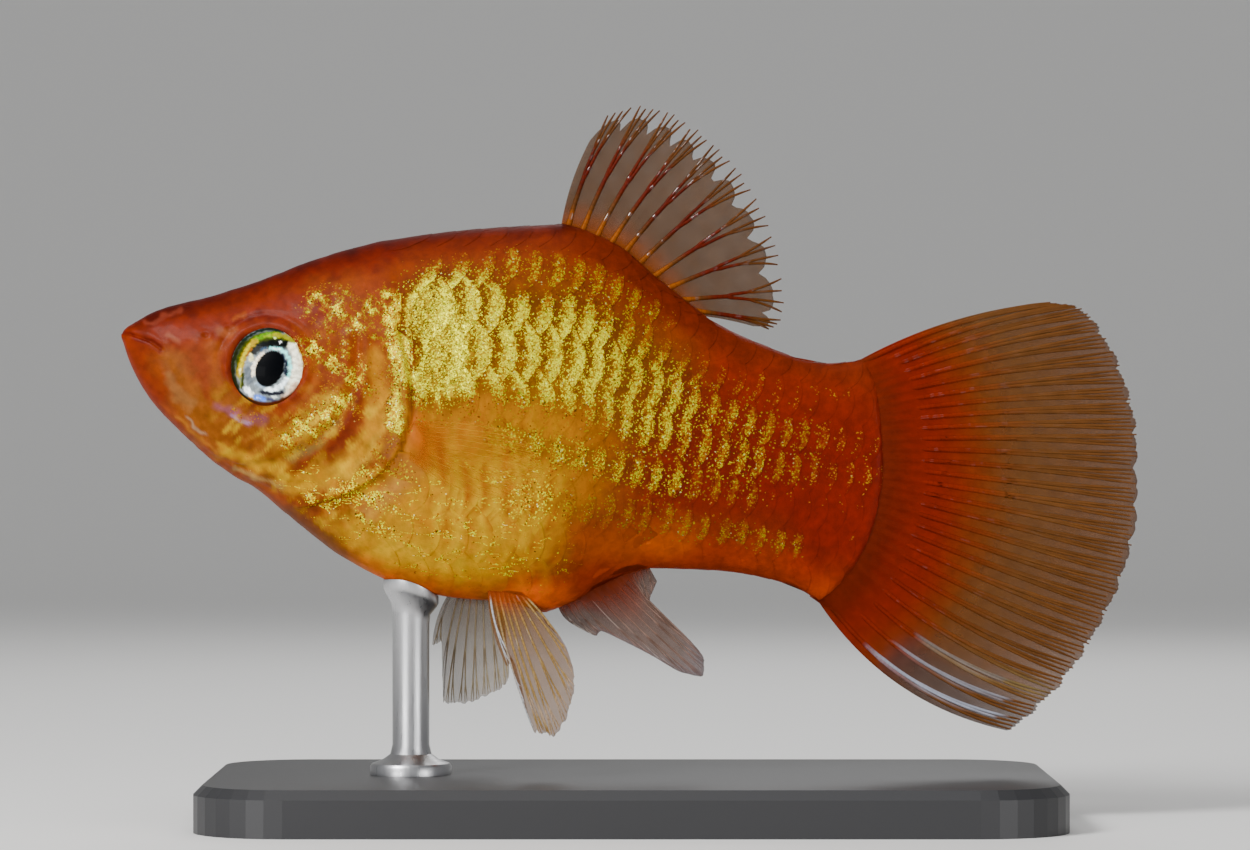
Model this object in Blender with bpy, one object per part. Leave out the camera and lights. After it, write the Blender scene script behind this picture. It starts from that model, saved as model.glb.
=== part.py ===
"""A female sunset neon platy, life size, held over a plain display stand."""

import math

import bmesh
import bpy
from mathutils import Vector

# Lengths are in millimetres until the last step, which turns them into metres.
# Along the fish they run back from the tip of the snout. Heights are from the
# level of the middle of the body, which lies AXIS_HEIGHT above the floor.
MM = 0.001
SNOUT_X = -27.5
AXIS_HEIGHT = 22.7
GAP = 0.3

AROUND = 36
HEAD_RINGS = 20
TRUNK_RINGS = 15
TAIL_RINGS = 6
ROUNDNESS = 2.1
TAIL_START = 34.0

EYE_PLACE = (7.83, 1.89)
EYE_RADIUS = 2.25
EYE_HALF_DEPTH = 1.35
EYE_STANDS_OUT = 0.7
EYE_AXIS = Vector((-0.16, -1.0, 0.16)).normalized()
PUPIL_RADIUS = 0.8
PUPIL_SUNK = 0.1

NOSTRILS = ((4.5, 3.5), (5.75, 3.85))
NOSTRIL_RADIUS = 0.26
MOUTH_CORNER = (2.25, 2.6)
JAW_HINGE = (3.75, -2.5)
LIP_HEIGHT = 0.14

PLATE_LIFT = 0.2
PLATE_DEPTH = 0.9

MEMBRANE = 0.5
RAY_HEIGHT = 0.13

BASE_SIZE = (46.0, 26.0, 2.5)
BASE_CORNER = 5.0
BASE_BEVEL = 0.5
ROD_FROM_SNOUT = 15.6
ROD_RADIUS = 1.0
ROD_FOOT_RADIUS = 2.2
ROD_PAD_RADIUS = 1.5


def curve(points):
    """A smooth function through (where, value) points that doesn't overshoot them."""
    x = [p[0] for p in points]
    y = [p[1] for p in points]
    rise = [(y[i + 1] - y[i]) / (x[i + 1] - x[i]) for i in range(len(x) - 1)]
    slope = [rise[0]]
    for before, after in zip(rise, rise[1:]):
        level = before * after <= 0
        slope.append(0.0 if level else 2 * before * after / (before + after))
    slope.append(rise[-1])

    def value(at):
        if at <= x[0]:
            return y[0]
        if at >= x[-1]:
            return y[-1]
        i = max(k for k in range(len(x) - 1) if x[k] <= at)
        step = x[i + 1] - x[i]
        t = (at - x[i]) / step
        return (
            y[i] * (1 + 2 * t) * (1 - t) ** 2
            + slope[i] * step * t * (1 - t) ** 2
            + y[i + 1] * t * t * (3 - 2 * t)
            + slope[i + 1] * step * t * t * (t - 1)
        )

    return value


def path(points):
    """A smooth (distance, height) path through (share, distance, height) points."""
    along = curve([(p[0], p[1]) for p in points])
    up = curve([(p[0], p[2]) for p in points])
    return lambda share: (along(share), up(share))


# The body's outline from the side, its half width and the level where it is widest.
TOP = curve([
    (0, 3.65), (0.7, 4.2), (2.1, 4.9), (5, 5.65), (8, 6.64), (10, 7.44), (12.5, 8.2),
    (15, 8.78), (20, 9.35), (23.2, 9.5), (26.5, 8.45), (29, 6.45), (31.6, 4.5), (34.2, 3.2),
    (38, 2.05), (40.2, 2.25), (43, 3.2),
])
BOTTOM = curve([
    (0, 3.35), (0.45, 2), (1.5, 0.1), (3.2, -1.75), (5.1, -3.45), (7.4, -4.9),
    (9.6, -6.8), (12, -8.6), (15, -10.05), (18, -10.75), (21, -10.95), (22.9, -11.3),
    (24.4, -10.9), (26, -9.9), (28.3, -9.15), (32, -9.25), (36, -10), (38, -11.2),
    (40, -12.8),
])
HALF_WIDTH = curve([
    (0, 0.55), (0.35, 1), (1.1, 1.4), (2.1, 1.8), (4.2, 2.5), (8, 3.25), (12, 4),
    (16, 4.5), (20, 4.6), (24, 4.2), (28, 3.3), (32, 2.5), (36, 1.8), (39, 1.3), (43, 0.8),
])
WIDEST = curve([
    (0, 3.5), (2, 2.4), (4, 1.6), (8, 0.6), (12, -0.4), (16, -1.2), (24, -1.5),
    (28, -1.3), (32, -2.4), (36, -3.6), (40, -4.2),
])

# Distance from the snout of the gill opening and of the tail fin's root, by height.
GILL_OPENING = curve([
    (-6.4, 7.8), (-5.95, 8.8), (-5.65, 10.2), (-4.6, 13.1), (-2.7, 15), (0, 15.6),
    (3.8, 14.9), (8.5, 13.7),
])
TAIL_ROOT = curve([
    (-11.5, 36.9), (-10.9, 37.6), (-8.75, 39.4), (-7, 40.2), (-5.4, 40.6),
    (-3.8, 40.8), (-2.2, 40.75), (-0.5, 40.6), (0.8, 40.4), (2.2, 39.9),
])


def bump(distance, width):
    return math.exp(-((distance / width) ** 2))


def relief(s, h):
    """How far the skin stands out from the plain body: lips, and the rim of the eye."""
    mouth = TOP(0) - 0.05 - (TOP(0) - 0.05 - MOUTH_CORNER[1]) * s / MOUTH_CORNER[0]
    lips = bump(abs(h - mouth) - 0.3, 0.28) * bump(max(s - 1.9, 0), 0.4)
    rim = bump(math.hypot(s - EYE_PLACE[0], h - EYE_PLACE[1]) - 2.45, 0.35)
    return LIP_HEIGHT * (lips + rim)


def skin(s, angle):
    """The point (s, y, h) of the skin at this angle round the section, from the right side up."""
    level = WIDEST(s)
    up = math.sin(angle)
    reach = TOP(s) - level if up > 0 else level - BOTTOM(s)
    power = 2 / ROUNDNESS
    across = math.copysign(abs(math.cos(angle)) ** power, math.cos(angle))
    up = math.copysign(abs(up) ** power, up)
    y = HALF_WIDTH(s) * across
    h = level + reach * up
    out = relief(s, h)
    return s, y + out * across, h + out * up


def side_at(s, h):
    """The body's half width at one height."""
    level = WIDEST(s)
    reach = TOP(s) - level if h > level else level - BOTTOM(s)
    share = min(abs(h - level) / reach, 1)
    return HALF_WIDTH(s) * (1 - share**ROUNDNESS) ** (1 / ROUNDNESS)


def underside_at(s, y):
    """The height of the belly's skin at one place off the middle."""
    level = WIDEST(s)
    share = min(abs(y) / HALF_WIDTH(s), 1)
    return level - (level - BOTTOM(s)) * (1 - share**ROUNDNESS) ** (1 / ROUNDNESS)


def crossing(angle, line):
    """Where the skin at this angle crosses a line given as distance by height."""
    low, high = 4.0, 43.0
    for _ in range(24):
        middle = (low + high) / 2
        if middle < line(skin(middle, angle)[2]):
            low = middle
        else:
            high = middle
    return low


def world(point):
    s, y, h = point
    return Vector((SNOUT_X + s, y, AXIS_HEIGHT + h)) * MM


def material(name, colour, roughness, metallic=0.0, alpha=1.0):
    made = bpy.data.materials.new(name)
    made.use_nodes = True
    shader = made.node_tree.nodes["Principled BSDF"]
    shader.inputs["Base Color"].default_value = (*colour, 1)
    shader.inputs["Roughness"].default_value = roughness
    shader.inputs["Metallic"].default_value = metallic
    shader.inputs["Alpha"].default_value = alpha
    made.diffuse_color = (*colour, alpha)
    made.roughness = roughness
    made.metallic = metallic
    return made


def mesh_object(name, points, faces):
    """An object from points in millimetres, its faces turned outwards."""
    mesh = bpy.data.meshes.new(name)
    mesh.from_pydata([world(p) for p in points], [], faces)
    shaped = bmesh.new()
    shaped.from_mesh(mesh)
    bmesh.ops.recalc_face_normals(shaped, faces=shaped.faces)
    shaped.to_mesh(mesh)
    shaped.free()
    made = bpy.data.objects.new(name, mesh)
    bpy.context.scene.collection.objects.link(made)
    return made


def finish(shape, look):
    shape.data.materials.clear()
    shape.data.materials.append(look)
    shape.data.shade_smooth()
    shape.data.set_sharp_from_angle(angle=math.radians(40))
    return shape


def lofted(name, rings, front, back):
    """A closed body through rings of equal length, its ends drawn to two inner points."""
    points = [p for ring in rings for p in ring]
    count = len(rings[0])
    faces = []
    for i in range(len(rings) - 1):
        for j in range(count):
            k = (j + 1) % count
            low, high = i * count, (i + 1) * count
            faces.append((low + j, high + j, high + k, low + k))
    last = (len(rings) - 1) * count
    points += [front, back]
    for j in range(count):
        k = (j + 1) % count
        faces.append((len(points) - 2, j, k))
        faces.append((len(points) - 1, last + k, last + j))
    return mesh_object(name, points, faces)


def body_between(name, start, end, rings, crowding, front, back):
    """The part of the body between two boundaries, each a distance by angle."""
    angles = [2 * math.pi * j / AROUND for j in range(AROUND)]
    made = []
    for i in range(rings + 1):
        t = (i / rings) ** crowding
        made.append([skin(start(a) * (1 - t) + end(a) * t, a) for a in angles])
    return lofted(name, made, front, back)


def sheet(name, rows, columns, point):
    """A thin closed sheet, cut into triangles the same way on both faces.

    point(row, column, face) gives a place, with face 1 or -1.
    """
    points = []
    for face in (1, -1):
        for i in range(rows + 1):
            points += [point(i, j, face) for j in range(columns + 1)]
    width = columns + 1
    far = width * (rows + 1)
    faces = []
    for i in range(rows):
        for j in range(columns):
            a = i * width + j
            b, c, d = a + 1, a + width + 1, a + width
            faces += [(a, b, c), (a, c, d)]
            faces += [(far + c, far + b, far + a), (far + d, far + c, far + a)]
    rim = list(range(width))
    rim += [i * width + columns for i in range(1, rows + 1)]
    rim += [rows * width + j for j in range(columns - 1, -1, -1)]
    rim += [i * width for i in range(rows - 1, 0, -1)]
    for a, b in zip(rim, rim[1:] + rim[:1]):
        faces += [(a, far + a, far + b), (a, far + b, b)]
    return mesh_object(name, points, faces)


def spun(name, profile, segments, place):
    """A closed round body from (radius, along) points, the first and last on the axis."""
    points = [place(0, profile[0][1], 0)]
    for radius, along in profile[1:-1]:
        points += [place(radius, along, 2 * math.pi * k / segments) for k in range(segments)]
    points.append(place(0, profile[-1][1], 0))
    faces = []
    for k in range(segments):
        after = (k + 1) % segments
        faces.append((0, 1 + k, 1 + after))
        for ring in range(len(profile) - 3):
            low = 1 + ring * segments
            high = low + segments
            faces.append((low + k, high + k, high + after, low + after))
        last = 1 + (len(profile) - 3) * segments
        faces.append((last + k, len(points) - 1, last + after))
    return mesh_object(name, points, faces)


def with_boolean(shape, tools, operation):
    """Cuts or keeps what the tools cover, then keeps the largest closed piece."""
    for tool in tools:
        step = shape.modifiers.new("step", "BOOLEAN")
        step.operation = operation
        step.solver = "EXACT"
        step.object = tool
        graph = bpy.context.evaluated_depsgraph_get()
        result = bpy.data.meshes.new_from_object(shape.evaluated_get(graph))
        shape.modifiers.clear()
        shape.data = result
    keep_largest(shape)


def keep_largest(shape):
    found = bmesh.new()
    found.from_mesh(shape.data)
    waiting = set(found.verts)
    pieces = []
    while waiting:
        start = waiting.pop()
        piece = {start}
        edge = [start]
        while edge:
            for link in edge.pop().link_edges:
                for vert in link.verts:
                    if vert not in piece:
                        piece.add(vert)
                        edge.append(vert)
        waiting -= piece
        pieces.append(piece)
    pieces.sort(key=len)
    small = [vert for piece in pieces[:-1] for vert in piece]
    bmesh.ops.delete(found, geom=small, context="VERTS")
    found.to_mesh(shape.data)
    found.free()


def discard(shapes):
    for shape in shapes:
        bpy.data.objects.remove(shape, do_unlink=True)


def eye_place(side, surface_offset):
    """Maps a round profile about the eye's axis to the body, side 1 for the right eye."""
    s, h = EYE_PLACE
    axis = Vector((EYE_AXIS.x, EYE_AXIS.y * -side, EYE_AXIS.z))
    centre = Vector((s, side * side_at(s, h), h)) + axis * surface_offset
    across = axis.orthogonal().normalized()
    turn = axis.cross(across)

    def place(radius, along, angle):
        spot = centre + axis * along
        spot += (across * math.cos(angle) + turn * math.sin(angle)) * radius
        return tuple(spot)

    return place


def eyeball(name, side, grow):
    """The flattened ball of an eye with its pupil sunk a little, or its socket if grown."""
    profile = []
    steps = 11
    for k in range(steps + 1):
        turn = math.pi * k / steps
        radius = (EYE_RADIUS + grow) * math.sin(turn)
        along = (EYE_HALF_DEPTH + grow) * math.cos(turn)
        profile.append((radius, along))
    if not grow:
        edge = math.asin(PUPIL_RADIUS / EYE_RADIUS)
        rim = (PUPIL_RADIUS, EYE_HALF_DEPTH * math.cos(edge))
        sunk = (PUPIL_RADIUS - 0.05, rim[1] - PUPIL_SUNK)
        middle = (0, EYE_HALF_DEPTH - PUPIL_SUNK)
        profile = [middle, (0.4, middle[1] - 0.03), sunk, rim] + profile[2:]
    place = eye_place(side, EYE_STANDS_OUT - EYE_HALF_DEPTH)
    return spun(name, profile, 24, place)


def nostril(side, spot):
    s, h = spot
    y = side * side_at(s, h)

    def place(radius, along, angle):
        return s + radius * math.cos(angle), y + along * 1.5, h + radius * math.sin(angle)

    steps = 6
    turns = [math.pi * k / steps for k in range(steps + 1)]
    profile = [(NOSTRIL_RADIUS * math.sin(t), NOSTRIL_RADIUS * math.cos(t)) for t in turns]
    return spun("nostril", profile, 10, place)


def jaw_block(grow):
    """Everything in front of and below the line of the mouth, for parting the lower jaw."""
    reach = 6.0
    outline = [
        (-1, TOP(0) + 0.32 + grow),
        (MOUTH_CORNER[0] + grow, MOUTH_CORNER[1] + grow * 0.8),
        (JAW_HINGE[0] + grow, JAW_HINGE[1]),
        (JAW_HINGE[0] + grow, JAW_HINGE[1] - 3),
        (-1, JAW_HINGE[1] - 3),
    ]
    count = len(outline)
    points = [(s, y, h) for y in (-reach, reach) for s, h in outline]
    faces = [tuple(range(count)), tuple(range(2 * count - 1, count - 1, -1))]
    for j in range(count):
        k = (j + 1) % count
        faces.append((j, k, count + k, count + j))
    return mesh_object("jaw_block", points, faces)


# The gill cover's edge next to the cheek and its free edge, from its top forward.
COVER_FRONT = path([
    (0, 12.6, 3.2), (0.25, 12.6, 1.1), (0.5, 11.8, -0.9), (0.75, 10.2, -2.5), (1, 8.4, -3.4),
])
COVER_REAR = path([
    (0, 14.2, 3.0), (0.25, 15.2, 0.8), (0.5, 15.2, -1.7), (0.75, 13.2, -4.1), (1, 9.4, -5.1),
])


def gill_plate(name, side, grow):
    """The raised plate over the gills, or the hollow for it in the head if grown."""
    rows, columns = 14, 6

    def point(i, j, face):
        v = i / rows
        u = j / columns
        near, far = COVER_FRONT(v), COVER_REAR(v)
        far = (min(far[0], GILL_OPENING(far[1]) - GAP - 0.1), far[1])
        span = Vector((far[0] - near[0], far[1] - near[1])).normalized()
        start = Vector(near) - span * grow
        stop = Vector(far) + span * grow * 5
        spot = start.lerp(stop, u)
        end = 0.0
        if grow and i == 0:
            end = grow
        if grow and i == rows:
            end = -grow
        s, h = spot.x + end * 0.5, spot.y + end
        swell = PLATE_LIFT * math.sin(math.pi * (0.15 + 0.8 * u)) ** 0.5
        if grow:
            swell = 1.5
        y = side_at(s, h)
        depth = swell if face > 0 else -PLATE_DEPTH * (1 - 0.65 * u) - grow
        return s, side * max(y + depth, 0.25), h

    return sheet(name, rows, columns, point)


def ray_profile(phase, u):
    """Height of the ray's crest across one ray: single at the root, forked farther out."""
    single = (0.0, 0.4, 1.0, 0.4)[phase]
    forked = (0.0, 1.0, 0.35, 1.0)[phase]
    share = min(max((u - 0.35) / 0.3, 0), 1)
    return single * (1 - share) + forked * share


def fin(name, root, tip, bow, side, rays, rows, root_thickness=MEMBRANE, notch=0.012):
    """A fin as a thin sheet with rays raised on both faces.

    root and tip give the ends of each ray by its share across the fin, bow how far it
    curves to one side, and side(u, v, s, h) the sheet's place across the body.
    """
    columns = rays * 4

    def point(i, j, face):
        u = i / rows
        v = j / columns
        phase = j % 4
        start, end = Vector(root(v)), Vector(tip(v))
        span = end - start
        reach = u * (1 - notch * (phase == 0))
        spot = start + span * reach
        spot += Vector((-span.y, span.x)).normalized() * bow(v) * 4 * u * (1 - u)
        half = MEMBRANE / 2 + (root_thickness - MEMBRANE) / 2 * (1 - min(u / 0.3, 1))
        half += RAY_HEIGHT * ray_profile(phase, u) * (1 - 0.4 * u)
        half *= 1 - 0.35 * u**3
        y = side(u, v, spot.x, spot.y)
        return spot.x, y + face * half, spot.y

    return sheet(name, rows, columns, point)


def dorsal_fin(look):
    angle = curve([(0, 67), (0.33, 50), (0.56, 35.6), (0.78, 10.8), (0.9, -12), (1, -20)])
    length = curve([
        (0, 6), (0.12, 7.3), (0.24, 7.6), (0.45, 7.3), (0.6, 6.9), (0.78, 5.95), (0.9, 5.3),
        (1, 3.85),
    ])

    def root(v):
        s = 23.7 + 7.6 * v
        return s, TOP(s) + GAP + 0.05

    def tip(v):
        turn = math.radians(angle(v))
        s, h = root(v)
        return s + length(v) * math.cos(turn), h + length(v) * math.sin(turn)

    def side(u, v, s, h):
        return 0.3 * u * math.sin(7 * v)

    bow = curve([(0, 0.35), (1, 0.1)])
    return finish(fin("dorsal_fin", root, tip, bow, side, 10, 8, 0.7), look)


def caudal_fin(look):
    root_s = curve([
        (0, 40.2), (0.125, 40.7), (0.25, 40.9), (0.5, 41.1), (0.625, 40.9), (0.75, 40.5),
        (0.875, 39.7), (1, 37.95),
    ])
    root_h = curve([
        (0, 2.2), (0.25, -0.55), (0.5, -3.8), (0.75, -7), (0.875, -8.75), (1, -10.95),
    ])
    tip = path([
        (0, 50.1, 5.3), (0.06, 51.6, 5.1), (0.125, 52.8, 4.05), (0.25, 54.4, 0.8),
        (0.375, 54.95, -2.2), (0.5, 54.95, -5.7), (0.625, 54.2, -9.2), (0.75, 52.7, -12.4),
        (0.875, 50.7, -15.4), (0.95, 49.2, -16.9), (1, 48.1, -17.9),
    ])
    bow = curve([(0, 0.55), (0.4, 0.1), (0.75, -0.3), (1, -1.3)])

    def root(v):
        h = root_h(v)
        return max(root_s(v), TAIL_ROOT(h) + GAP), h

    def side(u, v, s, h):
        return 0.6 * u * u * math.sin(5 * v + 0.5)

    return finish(fin("caudal_fin", root, tip, bow, side, 15, 8, 1.1, 0.01), look)


def anal_fin(look):
    tip = path([
        (0, 24.5, -12.2), (0.1, 25.6, -12.75), (0.2, 25.9, -12.5), (0.3, 28.5, -13.75),
        (0.42, 30.4, -14.8), (0.5, 31.4, -15), (0.58, 31.5, -14.2), (0.7, 30.7, -13),
        (0.8, 28.8, -11.7), (0.9, 28.5, -10.9), (1, 28.9, -9.8),
    ])

    def root(v):
        s = 23.5 + 4.9 * v
        return s, BOTTOM(s) - GAP - 0.05

    def side(u, v, s, h):
        return 0.12 * math.sin(0.9 * (s - 23.5))

    return finish(fin("anal_fin", root, tip, curve([(0, -0.2), (1, 0)]), side, 9, 7), look)


def pelvic_fin(name, look, side_sign, front, back, tip_points, spread):
    tip = path(tip_points)
    y_root = 1.6 * side_sign

    def root(v):
        s = front + (back - front) * v
        return s, underside_at(s, y_root) - GAP - 0.1

    def side(u, v, s, h):
        below = underside_at(front, y_root) - h
        return y_root + side_sign * (spread * below / 6.5 + 0.02 * below * math.sin(1.3 * s))

    bow = curve([(0, -0.25), (1, 0.1)])
    return finish(fin(name, root, tip, bow, side, 6, 8, 0.6), look)


def pectoral_fin(name, look, side_sign):
    tip = path([
        (0, 21.4, -1.7), (0.3, 22.7, -2.9), (0.5, 22.9, -3.8), (0.75, 21.8, -5), (1, 19.4, -5.3),
    ])
    base = 16.1
    flare = math.tan(math.radians(16))

    def root(v):
        return base - 0.25 * (2 * v - 1) ** 2, -1.2 - 2.1 * v

    def side(u, v, s, h):
        out = max(side_at(s, h) for s in (base, base + 2)) + GAP + 0.32
        return side_sign * (out + flare * (s - base) + 0.2 * u * math.sin(4 * v))

    return finish(fin(name, root, tip, curve([(0, 0.3), (1, -0.2)]), side, 7, 7), look)


def head_and_jaw(head_look, jaw_look):
    def start(angle):
        return 0.02

    def end(angle):
        return crossing(angle, GILL_OPENING) - GAP

    ends = ((0, 0, 3.5), (15.1, 0, -0.5))
    head = body_between("head", start, end, HEAD_RINGS, 1.6, *ends)
    jaw = body_between("lower_jaw", start, end, HEAD_RINGS, 1.6, *ends)
    keep = jaw_block(0)
    with_boolean(jaw, [keep], "INTERSECT")
    cutters = [jaw_block(GAP)]
    for side in (1, -1):
        cutters.append(eyeball("socket", side, GAP))
        cutters.append(gill_plate("gill_hollow", side, GAP))
        cutters += [nostril(side, spot) for spot in NOSTRILS]
    with_boolean(head, cutters, "DIFFERENCE")
    discard([keep, *cutters])
    finish(head, head_look)
    finish(jaw, jaw_look)


def trunk(look):
    def start(angle):
        return crossing(angle, GILL_OPENING)

    def end(angle):
        return TAIL_START

    ends = ((15.4, 0, -0.5), (TAIL_START, 0, -2.5))
    finish(body_between("trunk", start, end, TRUNK_RINGS, 1.0, *ends), look)


def tail(look):
    def start(angle):
        return TAIL_START + GAP

    def end(angle):
        return crossing(angle, TAIL_ROOT)

    ends = ((TAIL_START + GAP, 0, -2.5), (40.3, 0, -4))
    finish(body_between("tail", start, end, TAIL_RINGS, 1.0, *ends), look)


def stand_base(look):
    """A flat base with rounded corners and a small bevel round its top."""
    length, depth, height = BASE_SIZE
    outline = []
    for corner in range(4):
        for k in range(9):
            turn = math.pi / 2 * (corner + k / 8)
            outline.append((turn, corner))
    layers = [(0, 0), (height - BASE_BEVEL, 0), (height, BASE_BEVEL)]
    points = []
    for level, inset in layers:
        for turn, corner in outline:
            sx = 1 if corner in (0, 3) else -1
            sy = 1 if corner in (0, 1) else -1
            x = sx * (length / 2 - BASE_CORNER) + (BASE_CORNER - inset) * math.cos(turn)
            y = sy * (depth / 2 - BASE_CORNER) + (BASE_CORNER - inset) * math.sin(turn)
            points.append((x - SNOUT_X, y, level - AXIS_HEIGHT))
    count = len(outline)
    faces = [tuple(range(count)), tuple(range(2 * count, 3 * count))]
    for layer in range(len(layers) - 1):
        for j in range(count):
            k = (j + 1) % count
            low = layer * count
            faces.append((low + j, low + k, low + count + k, low + count + j))
    finish(mesh_object("stand_base", points, faces), look)


def stand_rod(look):
    """A short rod with a round foot and a small pad shaped to the belly."""
    s = ROD_FROM_SNOUT
    foot = BASE_SIZE[2] + GAP - AXIS_HEIGHT
    # Heights over the foot, then distances under the belly's skin.
    low, high = "over the foot", "under the belly"
    profile = [
        (0, (low, 0)), (ROD_FOOT_RADIUS, (low, 0)), (ROD_FOOT_RADIUS, (low, 0.5)),
        (ROD_FOOT_RADIUS - 0.4, (low, 0.8)), (ROD_RADIUS, (low, 1.1)),
        (ROD_RADIUS, (high, 1.4)), (ROD_PAD_RADIUS, (high, 0.7)), (ROD_PAD_RADIUS, (high, 0)),
        (ROD_PAD_RADIUS / 2, (high, 0)), (0, (high, 0)),
    ]

    def place(radius, along, angle):
        where, distance = along
        x, y = s + radius * math.cos(angle), radius * math.sin(angle)
        if where == low:
            return x, y, foot + distance
        return x, y, underside_at(x, y) - GAP - 0.05 - distance

    finish(spun("stand_rod", profile, 28, place), look)


def main():
    for old in list(bpy.data.objects):
        bpy.data.objects.remove(old, do_unlink=True)

    red = material("head_red", (0.42, 0.055, 0.008), 0.35)
    jaw_red = material("jaw_red", (0.38, 0.045, 0.008), 0.38)
    gold = material("flank_gold", (0.75, 0.36, 0.02), 0.32, 0.3)
    cover = material("cover_gold", (0.62, 0.24, 0.015), 0.32, 0.25)
    tail_red = material("tail_red", (0.36, 0.025, 0.006), 0.36)
    silver = material("eye_silver", (0.62, 0.68, 0.66), 0.15, 0.5)
    dorsal = material("dorsal_amber", (0.4, 0.13, 0.03), 0.4, alpha=0.8)
    caudal = material("caudal_red", (0.4, 0.08, 0.02), 0.4, alpha=0.85)
    anal = material("anal_lilac", (0.42, 0.25, 0.21), 0.4, alpha=0.8)
    pelvic = material("pelvic_amber", (0.42, 0.22, 0.08), 0.4, alpha=0.8)
    pectoral = material("pectoral_orange", (0.7, 0.28, 0.03), 0.4, alpha=0.6)
    black = material("stand_black", (0.03, 0.03, 0.033), 0.45)
    steel = material("stand_steel", (0.45, 0.45, 0.46), 0.3, 1.0)

    head_and_jaw(red, jaw_red)
    for name, side in (("left", -1), ("right", 1)):
        finish(gill_plate("gill_cover_" + name, side, 0), cover)
        finish(eyeball("eye_" + name, side, 0), silver)
        pectoral_fin("pectoral_fin_" + name, pectoral, side)
    trunk(gold)
    tail(tail_red)
    dorsal_fin(dorsal)
    caudal_fin(caudal)
    anal_fin(anal)
    pelvic_fin("pelvic_fin_left", pelvic, -1, 19.8, 21.9, [
        (0, 20.9, -14.4), (0.08, 21.2, -14), (0.2, 22.4, -17.9), (0.33, 23, -17.9),
        (0.45, 23.3, -18.1), (0.57, 23.9, -17.4), (0.68, 24.3, -16.3), (0.78, 24.5, -15.1),
        (0.88, 24, -13.2), (1, 22.9, -12),
    ], 1.4)
    pelvic_fin("pelvic_fin_right", pelvic, 1, 17.8, 20.5, [
        (0, 16.65, -13.45), (0.09, 17.15, -13.15), (0.2, 17.25, -16.6), (0.4, 18.4, -16.6),
        (0.6, 19.55, -16.2), (0.8, 20.6, -15.6), (0.9, 20.85, -14.9), (1, 20.2, -12.4),
    ], 1.6)
    stand_base(black)
    stand_rod(steel)


main()
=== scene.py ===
import math

import bmesh
import bpy
import numpy as np
from mathutils import Matrix, Vector


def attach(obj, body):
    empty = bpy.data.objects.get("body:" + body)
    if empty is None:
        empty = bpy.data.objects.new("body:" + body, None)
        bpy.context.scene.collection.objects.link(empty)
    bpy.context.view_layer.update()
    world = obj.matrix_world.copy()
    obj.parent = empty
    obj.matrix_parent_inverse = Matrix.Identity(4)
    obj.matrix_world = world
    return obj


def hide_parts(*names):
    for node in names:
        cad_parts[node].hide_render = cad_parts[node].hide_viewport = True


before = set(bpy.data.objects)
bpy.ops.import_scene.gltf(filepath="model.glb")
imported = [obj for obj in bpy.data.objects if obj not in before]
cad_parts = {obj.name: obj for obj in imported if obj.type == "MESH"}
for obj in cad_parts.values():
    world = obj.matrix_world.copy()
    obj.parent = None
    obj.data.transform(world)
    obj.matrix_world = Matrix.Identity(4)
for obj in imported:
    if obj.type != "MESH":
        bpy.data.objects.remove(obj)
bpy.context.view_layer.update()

# Lengths are in millimetres until a mesh is made. s runs back from the tip of the
# snout, h is the height over the middle of the body, y is across the fish.
millimetre = 0.001
snoutX = -27.5
axisHeight = 22.7


def curve(points):
    x, y = np.array(points, float).T
    rise = np.diff(y) / np.diff(x)
    slope = np.empty(len(x))
    slope[0], slope[-1] = rise[0], rise[-1]
    before, after = rise[:-1], rise[1:]
    same = before * after > 0
    slope[1:-1] = np.where(same, 2 * before * after / np.where(same, before + after, 1), 0)

    def value(at):
        at = np.clip(at, x[0], x[-1])
        i = np.clip(np.searchsorted(x, at, side="right") - 1, 0, len(x) - 2)
        step = x[i + 1] - x[i]
        t = (at - x[i]) / step
        return (
            y[i] * (1 + 2 * t) * (1 - t) ** 2
            + slope[i] * step * t * (1 - t) ** 2
            + y[i + 1] * t * t * (3 - 2 * t)
            + slope[i + 1] * step * t * t * (t - 1)
        )

    return value


def path(points):
    along = curve([(p[0], p[1]) for p in points])
    up = curve([(p[0], p[2]) for p in points])
    return lambda share: np.stack([along(share), up(share)], -1)


def smooth(value):
    t = np.clip(value, 0, 1)
    return t * t * (3 - 2 * t)


# 1 between two places, fading over a width inside each.
def between(value, start, startWidth, end, endWidth):
    return smooth((value - start) / startWidth) * smooth((end - value) / endWidth)


def bump(distance, width):
    return np.exp(-((distance / width) ** 2))


# How much brighter than white paper the studio lights the flank. Paints are darker by that.
brightness = 2.0


# The paint that looks like a colour from 0 to 255 under the studio's light.
def tone(red, green, blue, light=brightness):
    c = np.array([red, green, blue], float) / 255
    return np.where(c <= 0.04045, c / 12.92, ((c + 0.055) / 1.055) ** 2.4) / light


# A smooth uneven field between about -1 and 1, its lumps about size across.
def wander(s, h, size, seed=0.0):
    a, b = s / size, h / size
    total = np.sin(1.7 * a + 2.3 * b + seed) + np.sin(-2.1 * a + 1.3 * b + 1.9 * seed + 1)
    total = total + 0.6 * np.sin(4.3 * a + 0.7 * b + 2.7 * seed)
    total = total + 0.6 * np.sin(1.1 * a - 4.9 * b + seed + 2)
    total = total + 0.4 * np.sin(6.1 * a - 5.3 * b + seed)
    total = total + 0.4 * np.sin(5.7 * a + 6.9 * b - seed)
    return total / 3


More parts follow.
